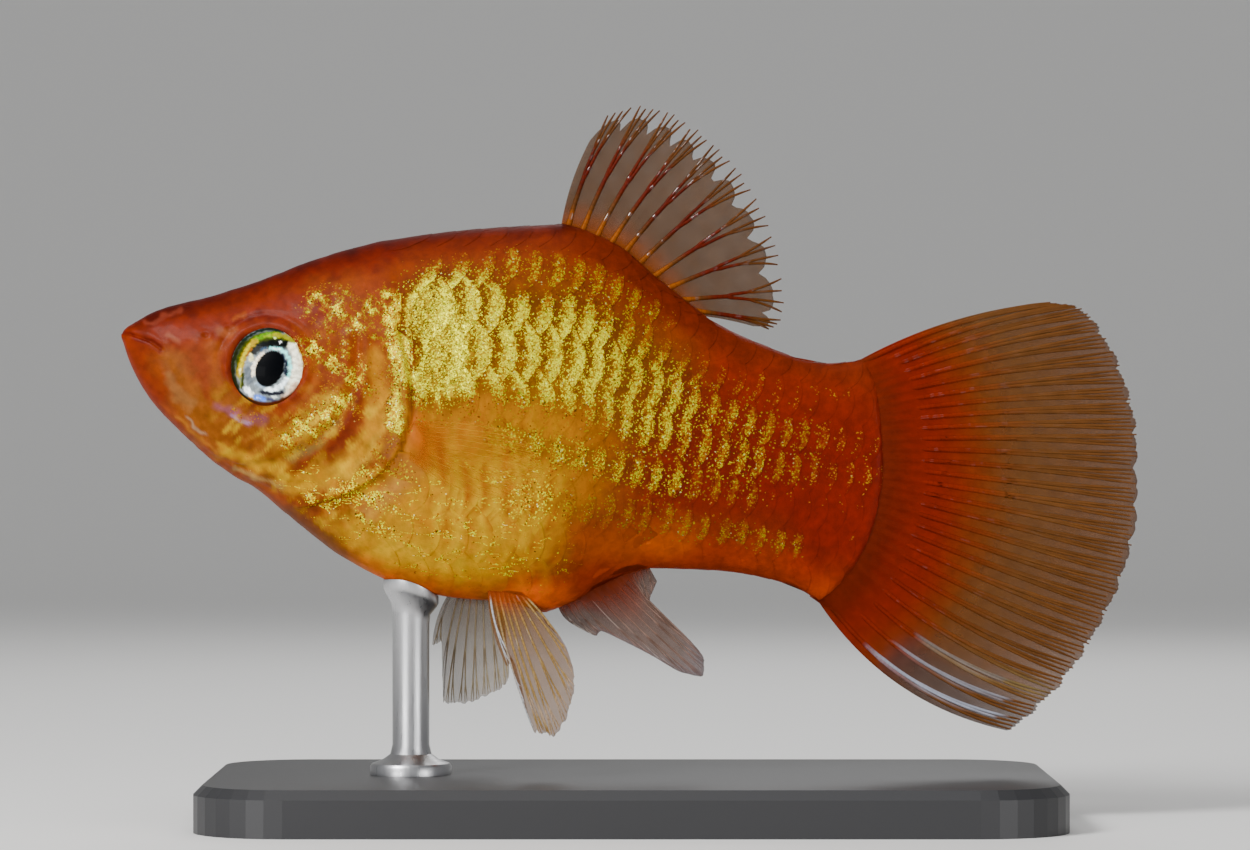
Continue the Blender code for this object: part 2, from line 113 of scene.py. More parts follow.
# Distance from each point to a line of (s, h) points.
def lineDistance(s, h, line):
    line = np.array(line, float)
    nearest = np.full(np.shape(s), 1e9)
    if len(line) == 1:
        return np.hypot(s - line[0, 0], h - line[0, 1])
    for start, end in zip(line, line[1:]):
        span = end - start
        t = ((s - start[0]) * span[0] + (h - start[1]) * span[1]) / max(span @ span, 1e-9)
        t = np.clip(t, 0, 1)
        nearest = np.minimum(nearest, np.hypot(s - start[0] - t * span[0], h - start[1] - t * span[1]))
    return nearest


# Moves colours towards a pigment by a share at each point.
def tinge(colour, share, pigment, light=brightness):
    colour += share[..., None] * (tone(*pigment, light=light) - colour)


# Lays soft brush strokes over a ground colour.
# A stroke is (colour, strength, reach, softness, line of (s, h) points).
def painted(s, h, ground, strokes, light=brightness):
    colour = np.broadcast_to(tone(*ground, light=light), (*np.shape(s), 3)).copy()
    for pigment, strength, reach, softness, line in strokes:
        cover = strength * smooth((reach - lineDistance(s, h, line)) / softness)
        tinge(colour, cover, pigment, light)
    return colour


# The most that any of these strokes, each (strength, reach, softness, line), covers.
def covered(s, h, strokes):
    covers = [
        strength * smooth((reach - lineDistance(s, h, line)) / softness)
        for strength, reach, softness, line in strokes
    ]
    return np.max(covers, axis=0)


eyeDistance = 281.25  # of the photograph's camera from the fish's middle plane
eyeHeight = 21.35  # of that camera over the stand's underside


# Where the camera sees a point against the middle plane of the fish, alike on both sides.
def seen(s, y, h):
    near = eyeDistance / (eyeDistance - np.abs(y))
    level = eyeHeight - axisHeight
    return -snoutX + (s + snoutX) * near, level + (h - level) * near


def placed(s, y, h):
    return np.stack([snoutX + s, y, axisHeight + h], -1) * millimetre


# Makes an object of some data and puts it in the scene.
def linked(name, data):
    made = bpy.data.objects.new(name, data)
    bpy.context.scene.collection.objects.link(made)
    return made


def meshObject(name, points, faces, edges=()):
    mesh = bpy.data.meshes.new(name)
    mesh.from_pydata([tuple(p) for p in points], edges, faces)
    mesh.update()
    mesh.shade_smooth()
    return linked(name, mesh)


# Turns the faces of a closed shape outwards, after welding points nearer than weld metres.
def faceOutwards(shape, weld=0.0):
    tidy = bmesh.new()
    tidy.from_mesh(shape.data)
    if weld:
        bmesh.ops.remove_doubles(tidy, verts=tidy.verts, dist=weld)
    bmesh.ops.recalc_face_normals(tidy, faces=tidy.faces)
    tidy.to_mesh(shape.data)
    tidy.free()


# Faces of a grid of rows by columns points.
def gridFaces(rows, columns, wrap=False, offset=0, flip=False):
    i, j = np.meshgrid(np.arange(rows - 1), np.arange(columns - (0 if wrap else 1)), indexing="ij")
    k = (j + 1) % columns
    here, below = i * columns, (i + 1) * columns
    faces = np.stack([here + j, below + j, below + k, here + k], -1).reshape(-1, 4) + offset
    return (faces[:, ::-1] if flip else faces).tolist()


# The points round a grid, in order.
def rimOf(rows, columns):
    rim = list(range(columns)) + [i * columns + columns - 1 for i in range(1, rows)]
    rim += [(rows - 1) * columns + j for j in range(columns - 2, -1, -1)]
    return rim + [i * columns for i in range(rows - 2, 0, -1)]


# A wall between two rims.
def rimFaces(upper, lower):
    n = len(upper)
    return [(upper[i], upper[(i + 1) % n], lower[(i + 1) % n], lower[i]) for i in range(n)]


# Keeps one value per point of a mesh under a name its material reads.
def store(shape, name, values):
    values = np.asarray(values, np.float32)
    kinds = {1: ("FLOAT", "value"), 3: ("FLOAT_VECTOR", "vector"), 4: ("FLOAT_COLOR", "color")}
    width = 1 if values.ndim == 1 else values.shape[-1]
    kind, field = kinds[width]
    made = shape.data.attributes.new(name, kind, "POINT")
    made.data.foreach_set(field, values.ravel())


# A UV map from one place per point.
def storeMap(shape, name, places):
    corners = np.empty(len(shape.data.loops), np.int32)
    shape.data.loops.foreach_get("vertex_index", corners)
    layer = shape.data.uv_layers.new(name=name)
    layer.data.foreach_set("uv", np.asarray(places, np.float32)[corners].ravel())


# The vector that each point of a mesh keeps under a name.
def recall(shape, name):
    found = np.empty(len(shape.data.vertices) * 3, np.float32)
    shape.data.attributes[name].data.foreach_get("vector", found)
    return found.reshape(-1, 3)


# The points of a mesh in millimetres as s, y, h.
def pointsOf(shape):
    found = recall(shape, "position").astype(float) / millimetre
    return found[:, 0] - snoutX, found[:, 1], found[:, 2] - axisHeight


# Adds a node, sets its settings and its inputs by name or number.
def add(tree, kind, inputs=(), **settings):
    made = tree.nodes.new(kind)
    for name, value in settings.items():
        setattr(made, name, value)
    for socket, value in dict(inputs).items():
        if isinstance(value, bpy.types.NodeSocket):
            tree.links.new(value, made.inputs[socket])
        else:
            made.inputs[socket].default_value = value
    return made


def calculate(tree, operation, *values, clamp=False):
    inputs = dict(enumerate(values))
    return add(tree, "ShaderNodeMath", inputs, operation=operation, use_clamp=clamp).outputs[0]


# Maps low to high smoothly onto the range to.
def stretch(tree, value, low, high, to=(0.0, 1.0)):
    inputs = {"Value": value, "From Min": low, "From Max": high, "To Min": to[0], "To Max": to[1]}
    made = add(tree, "ShaderNodeMapRange", inputs, interpolation_type="SMOOTHSTEP")
    return made.outputs[0]


def blended(tree, share, first, second):
    made = add(tree, "ShaderNodeMix", data_type="RGBA")
    for index, value in ((0, share), (6, first), (7, second)):
        if isinstance(value, bpy.types.NodeSocket):
            tree.links.new(value, made.inputs[index])
        elif index == 0:
            made.inputs[index].default_value = value
        else:
            made.inputs[index].default_value = (*value, 1)
    return made.outputs[2]


def product(tree, *values):
    result = values[0]
    for value in values[1:]:
        result = calculate(tree, "MULTIPLY", result, value)
    return result


# How far a value from 0 to 1 lies from 0.5.
def offMiddle(tree, value):
    return calculate(tree, "ABSOLUTE", calculate(tree, "SUBTRACT", value, 0.5))


def scaled(tree, vector, factor):
    return add(tree, "ShaderNodeVectorMath", {0: vector, "Scale": factor}, operation="SCALE").outputs[0]


def vectors(tree, operation, *values):
    inputs = dict(enumerate(values))
    return add(tree, "ShaderNodeVectorMath", inputs, operation=operation).outputs[0]


def split(tree, vector):
    return add(tree, "ShaderNodeSeparateXYZ", {0: vector}).outputs


def attribute(tree, name):
    return add(tree, "ShaderNodeAttribute", attribute_name=name).outputs


def objectPlace(tree):
    return add(tree, "ShaderNodeTexCoord").outputs["Object"]


def noise(tree, vector, scale, detail=2.0, **more):
    inputs = {"Vector": vector, "Scale": scale, "Detail": detail, **more}
    return add(tree, "ShaderNodeTexNoise", inputs).outputs[0]


def bumped(tree, height, strength, distance, **more):
    inputs = {"Strength": strength, "Distance": distance, "Height": height, **more}
    return add(tree, "ShaderNodeBump", inputs).outputs[0]


# A shader node group whose outputs are (name, kind) pairs.
def newGroup(name, sockets):
    group = bpy.data.node_groups.new(name, "ShaderNodeTree")
    for label, kind in sockets:
        group.interface.new_socket(label, in_out="OUTPUT", socket_type="NodeSocket" + kind)
    return group


def newMaterial(name, **constants):
    made = bpy.data.materials.new(name)
    made.use_nodes = True
    shader = made.node_tree.nodes["Principled BSDF"]
    for label, value in constants.items():
        socket = shader.inputs[label.replace("_", " ")]
        socket.default_value = (*value, 1) if isinstance(value, (tuple, list, np.ndarray)) else value
    return made, made.node_tree, shader


# Leads outputs into the named inputs of a shader.
def feed(tree, shader, **sources):
    for label, source in sources.items():
        tree.links.new(source, shader.inputs[label.replace("_", " ")])


# Adds an input or an output to a Geometry Nodes tree.
def opening(tree, label, kind, value=None, way="INPUT"):
    made = tree.interface.new_socket(label, in_out=way, socket_type="NodeSocket" + kind)
    if value is not None:
        made.default_value = value


def named(tree, name, kind="FLOAT_VECTOR"):
    return add(tree, "GeometryNodeInputNamedAttribute", {"Name": name}, data_type=kind).outputs[0]


# Shades, realises and dresses the geometry of a tree, and puts it out.
def putOut(tree, geometry, look):
    shaded = add(tree, "GeometryNodeSetShadeSmooth", {0: geometry})
    real = add(tree, "GeometryNodeRealizeInstances", {"Geometry": shaded.outputs[0]})
    dressed = add(tree, "GeometryNodeSetMaterial", {"Geometry": real.outputs[0], "Material": look})
    add(tree, "NodeGroupOutput", {0: dressed.outputs[0]})


def wear(shape, look):
    shape.data.materials.clear()
    shape.data.materials.append(look)


# Tells the frame what a piece rides on, and hides the nodes it stands for.
def declare(shape, slot, *nodes):
    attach(shape, "root")
    if nodes:
        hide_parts(*nodes)


body = {
    "roundness": 2.1,
    "around": 240,
    "rings": 300,
    "vent": (22.6, -10.9),
    "pectoralRoot": (16.0, -2.2),
    "crowding": 0.16,  # of the points of a ring towards the flanks
    "finerInFront": 1.35,
    "start": 0.02,  # of the skin behind the tip of the snout
    "tailClosing": 0.4,  # how far behind the root of the tail fin it closes
    "closingRings": 6,
    "unwrapLength": 46,
    "inset": 0.07,  # how far the skin lies inside where scales cover it
    "top": [
        (0, 3.65), (0.7, 4.2), (2.1, 4.9), (5, 5.65), (8, 6.64), (10, 7.44), (12.5, 8.2),
        (15, 8.78), (20, 9.35), (23.2, 9.5), (26.5, 8.45), (29, 6.45), (31.6, 4.5), (34.2, 3.2),
        (38, 2.05), (40.2, 2.25), (43, 3.2),
    ],
    "bottom": [
        (0, 3.35), (0.45, 2), (1.5, 0.1), (3.2, -1.75), (5.1, -3.45), (7.4, -4.9),
        (9.6, -6.8), (12, -8.6), (15, -10.05), (18, -10.75), (21, -10.95), (22.9, -11.3),
        (24.4, -10.9), (26, -9.9), (28.3, -9.15), (32, -9.25), (36, -10), (38, -11.2),
        (40, -12.8),
    ],
    "halfWidth": [
        (0, 0.55), (0.35, 1), (1.1, 1.4), (2.1, 1.8), (4.2, 2.5), (8, 3.25), (12, 4),
        (16, 4.5), (20, 4.6), (24, 4.2), (28, 3.3), (32, 2.5), (36, 1.8), (39, 1.3), (43, 0.8),
    ],
    "widest": [
        (0, 3.5), (2, 2.4), (4, 1.6), (8, 0.6), (12, -0.4), (16, -1.2), (24, -1.5),
        (28, -1.3), (32, -2.4), (36, -3.6), (40, -4.2),
    ],
    "gillOpening": [  # s by h
        (-6.4, 7.8), (-5.95, 8.8), (-5.65, 10.2), (-4.6, 13.1), (-2.7, 15), (0, 15.6),
        (3.8, 14.9), (8.5, 13.7),
    ],
    "tailRoot": [  # s by h
        (-11.5, 36.9), (-10.9, 37.6), (-8.75, 39.4), (-7, 40.2), (-5.4, 40.6),
        (-3.8, 40.8), (-2.2, 40.75), (-0.5, 40.6), (0.8, 40.4), (2.2, 39.9),
    ],
}
topAt = curve(body["top"])
bottomAt = curve(body["bottom"])
halfWidthAt = curve(body["halfWidth"])
widestAt = curve(body["widest"])
gillOpening = curve(body["gillOpening"])
tailRoot = curve(body["tailRoot"])


# The plain body at s and an angle round it, from the right side up: y, h, outward y and h.
def section(s, angle):
    level = widestAt(s)
    over, up = np.cos(angle), np.sin(angle)
    power = 2 / body["roundness"]
    across = np.sign(over) * np.abs(over) ** power
    rise = np.sign(up) * np.abs(up) ** power
    reach = np.where(up > 0, topAt(s) - level, level - bottomAt(s))
    return halfWidthAt(s) * across, level + reach * rise, across, rise


def sideAt(s, h):
    level = widestAt(s)
    reach = np.where(h > level, topAt(s) - level, level - bottomAt(s))
    share = np.clip(np.abs(h - level) / reach, 0, 1)
    return halfWidthAt(s) * (1 - share ** body["roundness"]) ** (1 / body["roundness"])


def undersideAt(s, y):
    level = widestAt(s)
    share = np.clip(np.abs(y) / halfWidthAt(s), 0, 1)
    return level - (level - bottomAt(s)) * (1 - share ** body["roundness"]) ** (1 / body["roundness"])


# Where the skin at each angle crosses a line given as s by h.
def crossing(angle, line):
    low, high = np.full(np.shape(angle), 4.0), np.full(np.shape(angle), 43.0)
    for _ in range(24):
        middle = (low + high) / 2
        before = middle < line(section(middle, angle)[1])
        low, high = np.where(before, middle, low), np.where(before, high, middle)
    return low


head = {
    "mouth": [(-0.1, 3.66), (0.7, 3.5), (1.5, 3.2), (2.15, 2.75)],
    "jawFold": [(2.5, 2.1), (2.95, 0.6), (3.3, -0.6), (3.9, -2.4)],
    "jawEdge": [(2.0, 1.6), (2.5, 0.4), (3.0, -1)],
    "eye": (7.83, 1.89),
    "eyeHole": 1.93,  # radius of the socket, of the rim round it and of the fold above
    "eyeRim": 2.22,
    "lidFold": 2.72,
    "nostrils": [(4.5, 3.5), (5.75, 3.85)],
    "cheekCrease": [(12.7, 3.2), (12.65, 1.1), (11.8, -0.9), (10.2, -2.5), (8.2, -3.4), (6.4, -3.7)],
    "throatFolds": [
        [(4.4, -2.7), (6.6, -4.2), (8.8, -5.2), (11, -5.5)],
        [(5.4, -3.2), (7.6, -4.1), (9.6, -4.6), (12, -4.6), (13.6, -3.8)],
    ],
}


# How far the skin stands out of the plain body, the same on both sides.
def relief(s, h):
    s, h = seen(s, sideAt(s, h), h)
    eyeS, eyeH = head["eye"]
    mouth = lineDistance(s, h, head["mouth"])
    front = smooth((3.0 - s) / 1.2)
    out = front * (0.04 * bump(mouth - 0.28, 0.2) - 0.1 * bump(mouth, 0.07))
    out -= 0.03 * bump(lineDistance(s, h, head["jawFold"]), 0.16)
    out += 0.03 * bump(lineDistance(s, h, head["jawEdge"]), 0.3)
    away = np.hypot(s - eyeS, h - eyeH)
    above = smooth((h - eyeH + 0.6) / 1.6)
    out += 0.06 * bump(away - head["eyeRim"], 0.16)
    out -= 0.06 * above * bump(away - head["lidFold"], 0.13)
    out -= smooth((head["eyeHole"] - away) / 0.25)
    for spot in head["nostrils"]:
        near = np.hypot(s - spot[0], (h - spot[1]) * 1.5)
        out += 0.03 * bump(near - 0.26, 0.12) - 0.09 * bump(near, 0.15)
    crease = lineDistance(s, h, head["cheekCrease"])
    out += 0.06 * bump(crease - 0.5, 0.3) - 0.09 * bump(crease, 0.22)
    for fold in head["throatFolds"]:
        out -= 0.06 * bump(lineDistance(s, h, fold), 0.12)
    behind = s - gillOpening(h)
    onCover = smooth((4.5 - h) / 1.0) * smooth((s - 7) / 2) * smooth((h - bottomAt(s) - 0.3) / 1.5)
    out += onCover * 0.24 * smooth(-behind / 0.1) * np.exp(np.minimum(behind, 0) / 1.6)
    out -= onCover * 0.1 * bump(behind - 0.14, 0.14)
    # faint upright folds of the belly, the vent, the sheath along the dorsal fin and the
    # swollen root of the pectoral fin
    belly = between(s, 16.5, 1.5, 24.5, 1.5) * bump(h + 5.5, 3.2)
    out += 0.035 * belly * np.sin(2 * np.pi * (s / 1.05 + 0.05 * h) + wander(s, h, 1.6))
    out += 0.3 * bump(np.hypot(s - body["vent"][0], h - body["vent"][1]), 0.8)
    sheath = between(s, 23.0, 0.8, 31.8, 1.0)
    out += 0.12 * sheath * smooth((0.9 - (topAt(s) - h)) / 0.9)
    rootS, rootH = body["pectoralRoot"]
    out += 0.2 * bump(np.hypot(s - rootS, (h - rootH) * 0.7), 0.55)
    out += 0.018 * wander(s, h, 0.8, 3.1) * smooth((14 - s) / 2)
    return out


# A point of the skin with its relief, as s, y, h.
def skinPoint(s, angle):
    y, h, across, rise = section(s, angle)
    out = relief(s, h)
    coated = smooth((s - gillOpening(h) - 0.2) / 1.0)
    out = out - body["inset"] * coated
    return s, y + out * across, h + out * rise


# Where s and a turn round the body lie on the skin's unwrap.
def unwrapped(s, turn):
    return np.stack([body["start"] + s / body["unwrapLength"], turn / (2 * np.pi)], -1)


# One closed skin from the lips to the root of the tail fin.
def bodySkin():
    turn = 2 * np.pi * np.arange(body["around"]) / body["around"]
    angles = turn - body["crowding"] * np.sin(2 * turn)
    rear = crossing(angles, tailRoot)
    t = (np.arange(body["rings"]) / (body["rings"] - 1))[:, None]
    s = body["start"] + (rear[None, :] - body["start"]) * t ** body["finerInFront"]
    points = np.stack(skinPoint(s, np.broadcast_to(angles, s.shape)), -1)
    rings = len(points)
    # past the root the body closes inside the thick root of the tail fin
    over = []
    for share in np.linspace(0.2, 1, body["closingRings"]):
        ring = points[rings - 1] + np.array([body["tailClosing"] * share, 0, 0])
        ring[:, 1] *= 0.02 + 0.98 * math.sqrt(1 - share**2)
        over.append(ring)
    points = np.concatenate([points, np.array(over)])
    rings, around = points.shape[:2]
    flat = points.reshape(-1, 3)
    ends = np.array([[0.0, 0.0, 3.5], [41.3, 0.0, -4.1]])
    flat = np.concatenate([flat, ends])
    faces = gridFaces(rings, around, wrap=True)
    first, last = rings * around, (rings - 1) * around
    for j in range(around):
        k = (j + 1) % around
        faces.append((first, j, k))
        faces.append((first + 1, last + k, last + j))
    skin = meshObject("body_skin", placed(flat[:, 0], flat[:, 1], flat[:, 2]), faces)
    faceOutwards(skin)
    turns = np.concatenate([np.tile(turn, rings), [np.pi, np.pi]])
    storeMap(skin, "Unwrap", unwrapped(flat[:, 0], turns))
    return skin


coat = {
    "axis": [  # the row through the middle of the flank, h by s
        (11, 0.9), (14, 0.5), (16, 0.2), (20, 0.1), (24, -0.5), (28, -1.5), (32, -2.7), (36, -3.7),
        (42, -4.2),
    ],
    "rowSpacing": [(12, 2.3), (16, 2.5), (24, 2.55), (28, 2.35), (32, 2.15), (38, 1.95), (42, 1.7)],
    "pitch": [(10, 1.45), (16, 1.4), (20, 1.35), (24, 1.15), (27, 1.06), (32, 1.0), (42, 0.92)],
    "length": 2.1,  # of a scale, in pitches
    "height": 1.62,  # of a scale, in row spacings
    "rows": 7,  # above and below the middle one
    "columns": 40,
    "reach": (12.2, 41.2),  # s of the first and last roots
    "shift": 0.03,  # how far a root may stray from its place
    "unevenness": (0.03, 0.04),  # of length and height
    "plateGrid": (6, 8),
    "sharpAngle": 50,
    "rootLift": -0.025,
    "edgeLift": 0.024,
    "thickness": 0.01,
    "seed": 7,
    "bakePatch": 0.003,  # how far a scale reaches across the map its colours are baked to
}
axisAt = curve(coat["axis"])
spacingAt = curve(coat["rowSpacing"])
pitchAt = curve(coat["pitch"])
fineS = np.linspace(8, 43, 701)
pitches = pitchAt((fineS[1:] + fineS[:-1]) / 2)
columnTable = np.concatenate([[0], np.cumsum(np.diff(fineS) / pitches)])
columnAt = lambda s: np.interp(s, fineS, columnTable)
columnPlace = lambda c: np.interp(c, columnTable, fineS)


# Angles round the left side from back to belly, their arc from the axis row, and h.
def arcs(s, count=181):
    angle = np.linspace(math.pi / 2, 3 * math.pi / 2, count)
    y, h, _, _ = section(np.full(count, float(s)), angle)
    length = np.concatenate([[0], np.cumsum(np.hypot(np.diff(y), np.diff(h)))])
    start = np.interp(-axisAt(s), -h, length)
    return angle, start - length, h


arcGrid = np.linspace(6, 42.5, 147)
arcTable = [arcs(s) for s in arcGrid]


# Where s lies in the table of arcs, as a row and a share of the way to the next.
def arcRow(s):
    return np.clip((s - arcGrid[0]) / (arcGrid[1] - arcGrid[0]), 0, len(arcGrid) - 1.001)


# The angle at which the arc up from the axis row is arc.
def angleOfArc(s, arc):
    spot = arcRow(s)
    i = int(spot)
    found = []
    for k in (i, i + 1):
        angle, up, _ = arcTable[k]
        found.append(np.interp(-arc, -up, angle))
    return found[0] + (found[1] - found[0]) * (spot - i)


# Arc up from the axis row, for many points.
def arcOfPoint(s, h):
    spot = arcRow(s)
    i = spot.astype(int)
    result = np.zeros(np.shape(s))
    for k in np.unique(i):
        chosen = i == k
        for ring, weight in ((k, 1 - (spot[chosen] - k)), (k + 1, spot[chosen] - k)):
            _, up, heights = arcTable[ring]
            result[chosen] += weight * np.interp(-h[chosen], -heights, up)
    return result


# Along a scale from its free edge forward in pitches, and across it from -1 to 1.
def latticeOf(s, h):
    row = arcOfPoint(s, h) / spacingAt(s)
    whole = np.round(row)
    across = 2 * (row - whole)
    column = columnAt(s) - 0.5 * (whole % 2) + 0.16 * across**2
    return np.stack([1 - column % 1, across, 0 * across], -1)


# One thin scale with a rounded hind edge, lying flat: x back, y across, z out.
def scalePlate():
    rows, columns = coat["plateGrid"]
    a, b = np.meshgrid(np.linspace(0, 1, rows), np.linspace(-1, 1, columns), indexing="ij")
    x = a * (1 - 0.2 * b**2 * (0.35 + 0.65 * a))
    y = 0.5 * b * (0.74 + 0.26 * np.sin(math.pi * 0.95 * a)) * (1 - 0.16 * a**4 * np.abs(b))
    points = np.stack([x, y, 0 * x], -1).reshape(-1, 3)
    upper, lower = (np.stack([a, b, 0 * a + face], -1).reshape(-1, 3) for face in (1, 0))
    rim = rimOf(rows, columns)
    under = list(range(len(points), len(points) + len(rim)))
    faces = gridFaces(rows, columns) + rimFaces(rim, under) + [tuple(under[::-1])]
    plate = meshObject("scale_plate", np.concatenate([points, points[rim]]), faces)
    store(plate, "plate", np.concatenate([upper, lower[rim]]))
    return plate


# Where scales grow on one side: place, turn and size of each. side is -1 on the left.
def scaleRoots(side):
    draw = np.random.default_rng(coat["seed"])
    roots = []
    (first, last), uneven = coat["reach"], coat["unevenness"]
    for row in range(-coat["rows"], coat["rows"] + 1):
        for n in range(coat["columns"]):
            column = n + 0.5 * (row % 2)
            s = float(columnPlace(column))
            jitter = draw.uniform(-1, 1, 4)
            if not first < s < last:
                continue
            arc = row * float(spacingAt(s))
            _, up, _ = arcTable[int(arcRow(s))]
            if not up[-1] + 0.15 < arc < up[0] - 0.1:
                continue
            s += coat["shift"] * jitter[0]
            arc += coat["shift"] * jitter[1]
            spots = []
            for ds, da in ((0, 0), (0.3, 0), (0, 0.2)):
                ahead = (row * float(spacingAt(s + ds)) + arc - row * float(spacingAt(s))) + da
                angle = angleOfArc(s + ds, ahead)
                y, h, _, _ = section(np.array([s + ds]), np.array([angle]))
                spots.append(Vector((s + ds, float(y[0]), float(h[0]))))
            here, back, higher = spots
            h = here.z
            # none on the gill cover, the root of the tail fin and that of the pectoral fin
            if s < gillOpening(h) + (0.05 if h < 4.2 else -0.35):
                continue
            if s > tailRoot(h) - 0.2 or math.hypot(s - 16.3, h + 2.2) < 0.55:
                continue
            along = (back - here).normalized()
            out = along.cross(higher - here).normalized()
            if out.dot(Vector((0, here.y, h - float(widestAt(s))))) < 0:
                out.negate()
            across = out.cross(along)
            turn = np.array([along, across, out]).T
            if side > 0:
                turn = np.diag([1, -1, 1]) @ turn @ np.diag([1, -1, 1])
            place = np.array([here.x, here.y * -side, here.z])
            length = coat["length"] * float(pitchAt(s)) * (1 + uneven[0] * jitter[2])
            height = coat["height"] * float(spacingAt(s)) * (1 + uneven[1] * jitter[3])
            draw.uniform()  # holds the draws of the scales that follow in place
            size = (length * millimetre, height * millimetre, 1)
            roots.append((place, tuple(Matrix(turn.tolist()).to_euler()), size))
    return roots


# Geometry Nodes that set a scale on each root and lay it on the skin.
def coatTree(skin, plate, look):
    tree = bpy.data.node_groups.new("scaleCoat", "GeometryNodeTree")
    opening(tree, "Roots", "Geometry")
    opening(tree, "Root lift", "Float", coat["rootLift"] * millimetre)
    opening(tree, "Edge lift", "Float", coat["edgeLift"] * millimetre)
    opening(tree, "Thickness", "Float", coat["thickness"] * millimetre)
    opening(tree, "Coat", "Geometry", way="OUTPUT")
    start = tree.nodes.new("NodeGroupInput").outputs
    plateIn = add(tree, "GeometryNodeObjectInfo", {"Object": plate}).outputs["Geometry"]
    skinIn = add(tree, "GeometryNodeObjectInfo", {"Object": skin}).outputs["Geometry"]
    turned = add(tree, "FunctionNodeEulerToRotation", {0: named(tree, "turn")})
    laid = add(tree, "GeometryNodeInstanceOnPoints", {
        "Points": start["Roots"], "Instance": plateIn,
        "Rotation": turned.outputs[0], "Scale": named(tree, "size"),
    })
    real = add(tree, "GeometryNodeRealizeInstances", {"Geometry": laid.outputs[0]})
    near = add(tree, "GeometryNodeProximity", {0: skinIn}, target_element="FACES")
    normal = tree.nodes.new("GeometryNodeInputNormal").outputs[0]
    outward = add(
        tree, "GeometryNodeSampleNearestSurface", {"Mesh": skinIn, "Value": normal},
        data_type="FLOAT_VECTOR",
    )
    back, _, face = split(tree, named(tree, "plate"))
    lift = add(tree, "ShaderNodeMapRange", {
        "Value": calculate(tree, "POWER", back, 0.8),
        "To Min": start["Root lift"], "To Max": start["Edge lift"],
    })
    layer = calculate(tree, "MULTIPLY_ADD", face, start["Thickness"], lift.outputs[0])
    step = scaled(tree, outward.outputs[0], layer)
    spot = vectors(tree, "ADD", near.outputs["Position"], step)
    moved = add(tree, "GeometryNodeSetPosition", {
        "Geometry": real.outputs[0], "Position": spot,
    })
    putOut(tree, moved.outputs[0], look)
    return tree


# Evaluates a tree on a shape once and keeps the result as a plain mesh.
def applied(shape, tree, name):
    step = shape.modifiers.new("tree", "NODES")
    step.node_group = tree
    for item in tree.interface.items_tree:
        if item.item_type == "SOCKET" and item.in_out == "INPUT" and hasattr(item, "default_value"):
            step[item.identifier] = item.default_value
    graph = bpy.context.evaluated_depsgraph_get()
    result = bpy.data.meshes.new_from_object(shape.evaluated_get(graph))
    shape.modifiers.clear()
    bpy.data.objects.remove(shape, do_unlink=True)
    result.name = name
    return linked(name, result)


def scaleCoat(name, side, tree, look):
    places, turns, sizes = zip(*scaleRoots(side))
    places = np.array(places)
    seeds = meshObject(name + "_roots", placed(*places.T), [])
    store(seeds, "turn", turns)
    store(seeds, "size", sizes)
    # the root's own place on the skin's unwrap, for the map the colours are baked to
    turn = np.arctan2(places[:, 2] - widestAt(places[:, 0]), places[:, 1]) % (2 * math.pi)
    store(seeds, "unwrap", np.pad(unwrapped(places[:, 0], turn), ((0, 0), (0, 1))))
    made = applied(seeds, tree, name)
    back, across, _ = recall(made, "plate").T
    patch = coat["bakePatch"] * np.stack([back - 0.5, 0.5 * across], -1)
    storeMap(made, "OFBake", recall(made, "unwrap")[:, :2] + patch)
    data = made.data.attributes
    for gone in ("turn", "size", "unwrap", "plate"):
        if gone in data:
            data.remove(data[gone])
    wear(made, look)
    made.data.set_sharp_from_angle(angle=math.radians(coat["sharpAngle"]))
    lattice = [(1 - back) * coat["length"], across * coat["height"] / 2 * 1.3, 0 * back]
    markBody(made, np.stack(lattice, -1))
    print("coat", name, len(places), "scales,", len(made.data.polygons), "faces")
    return made


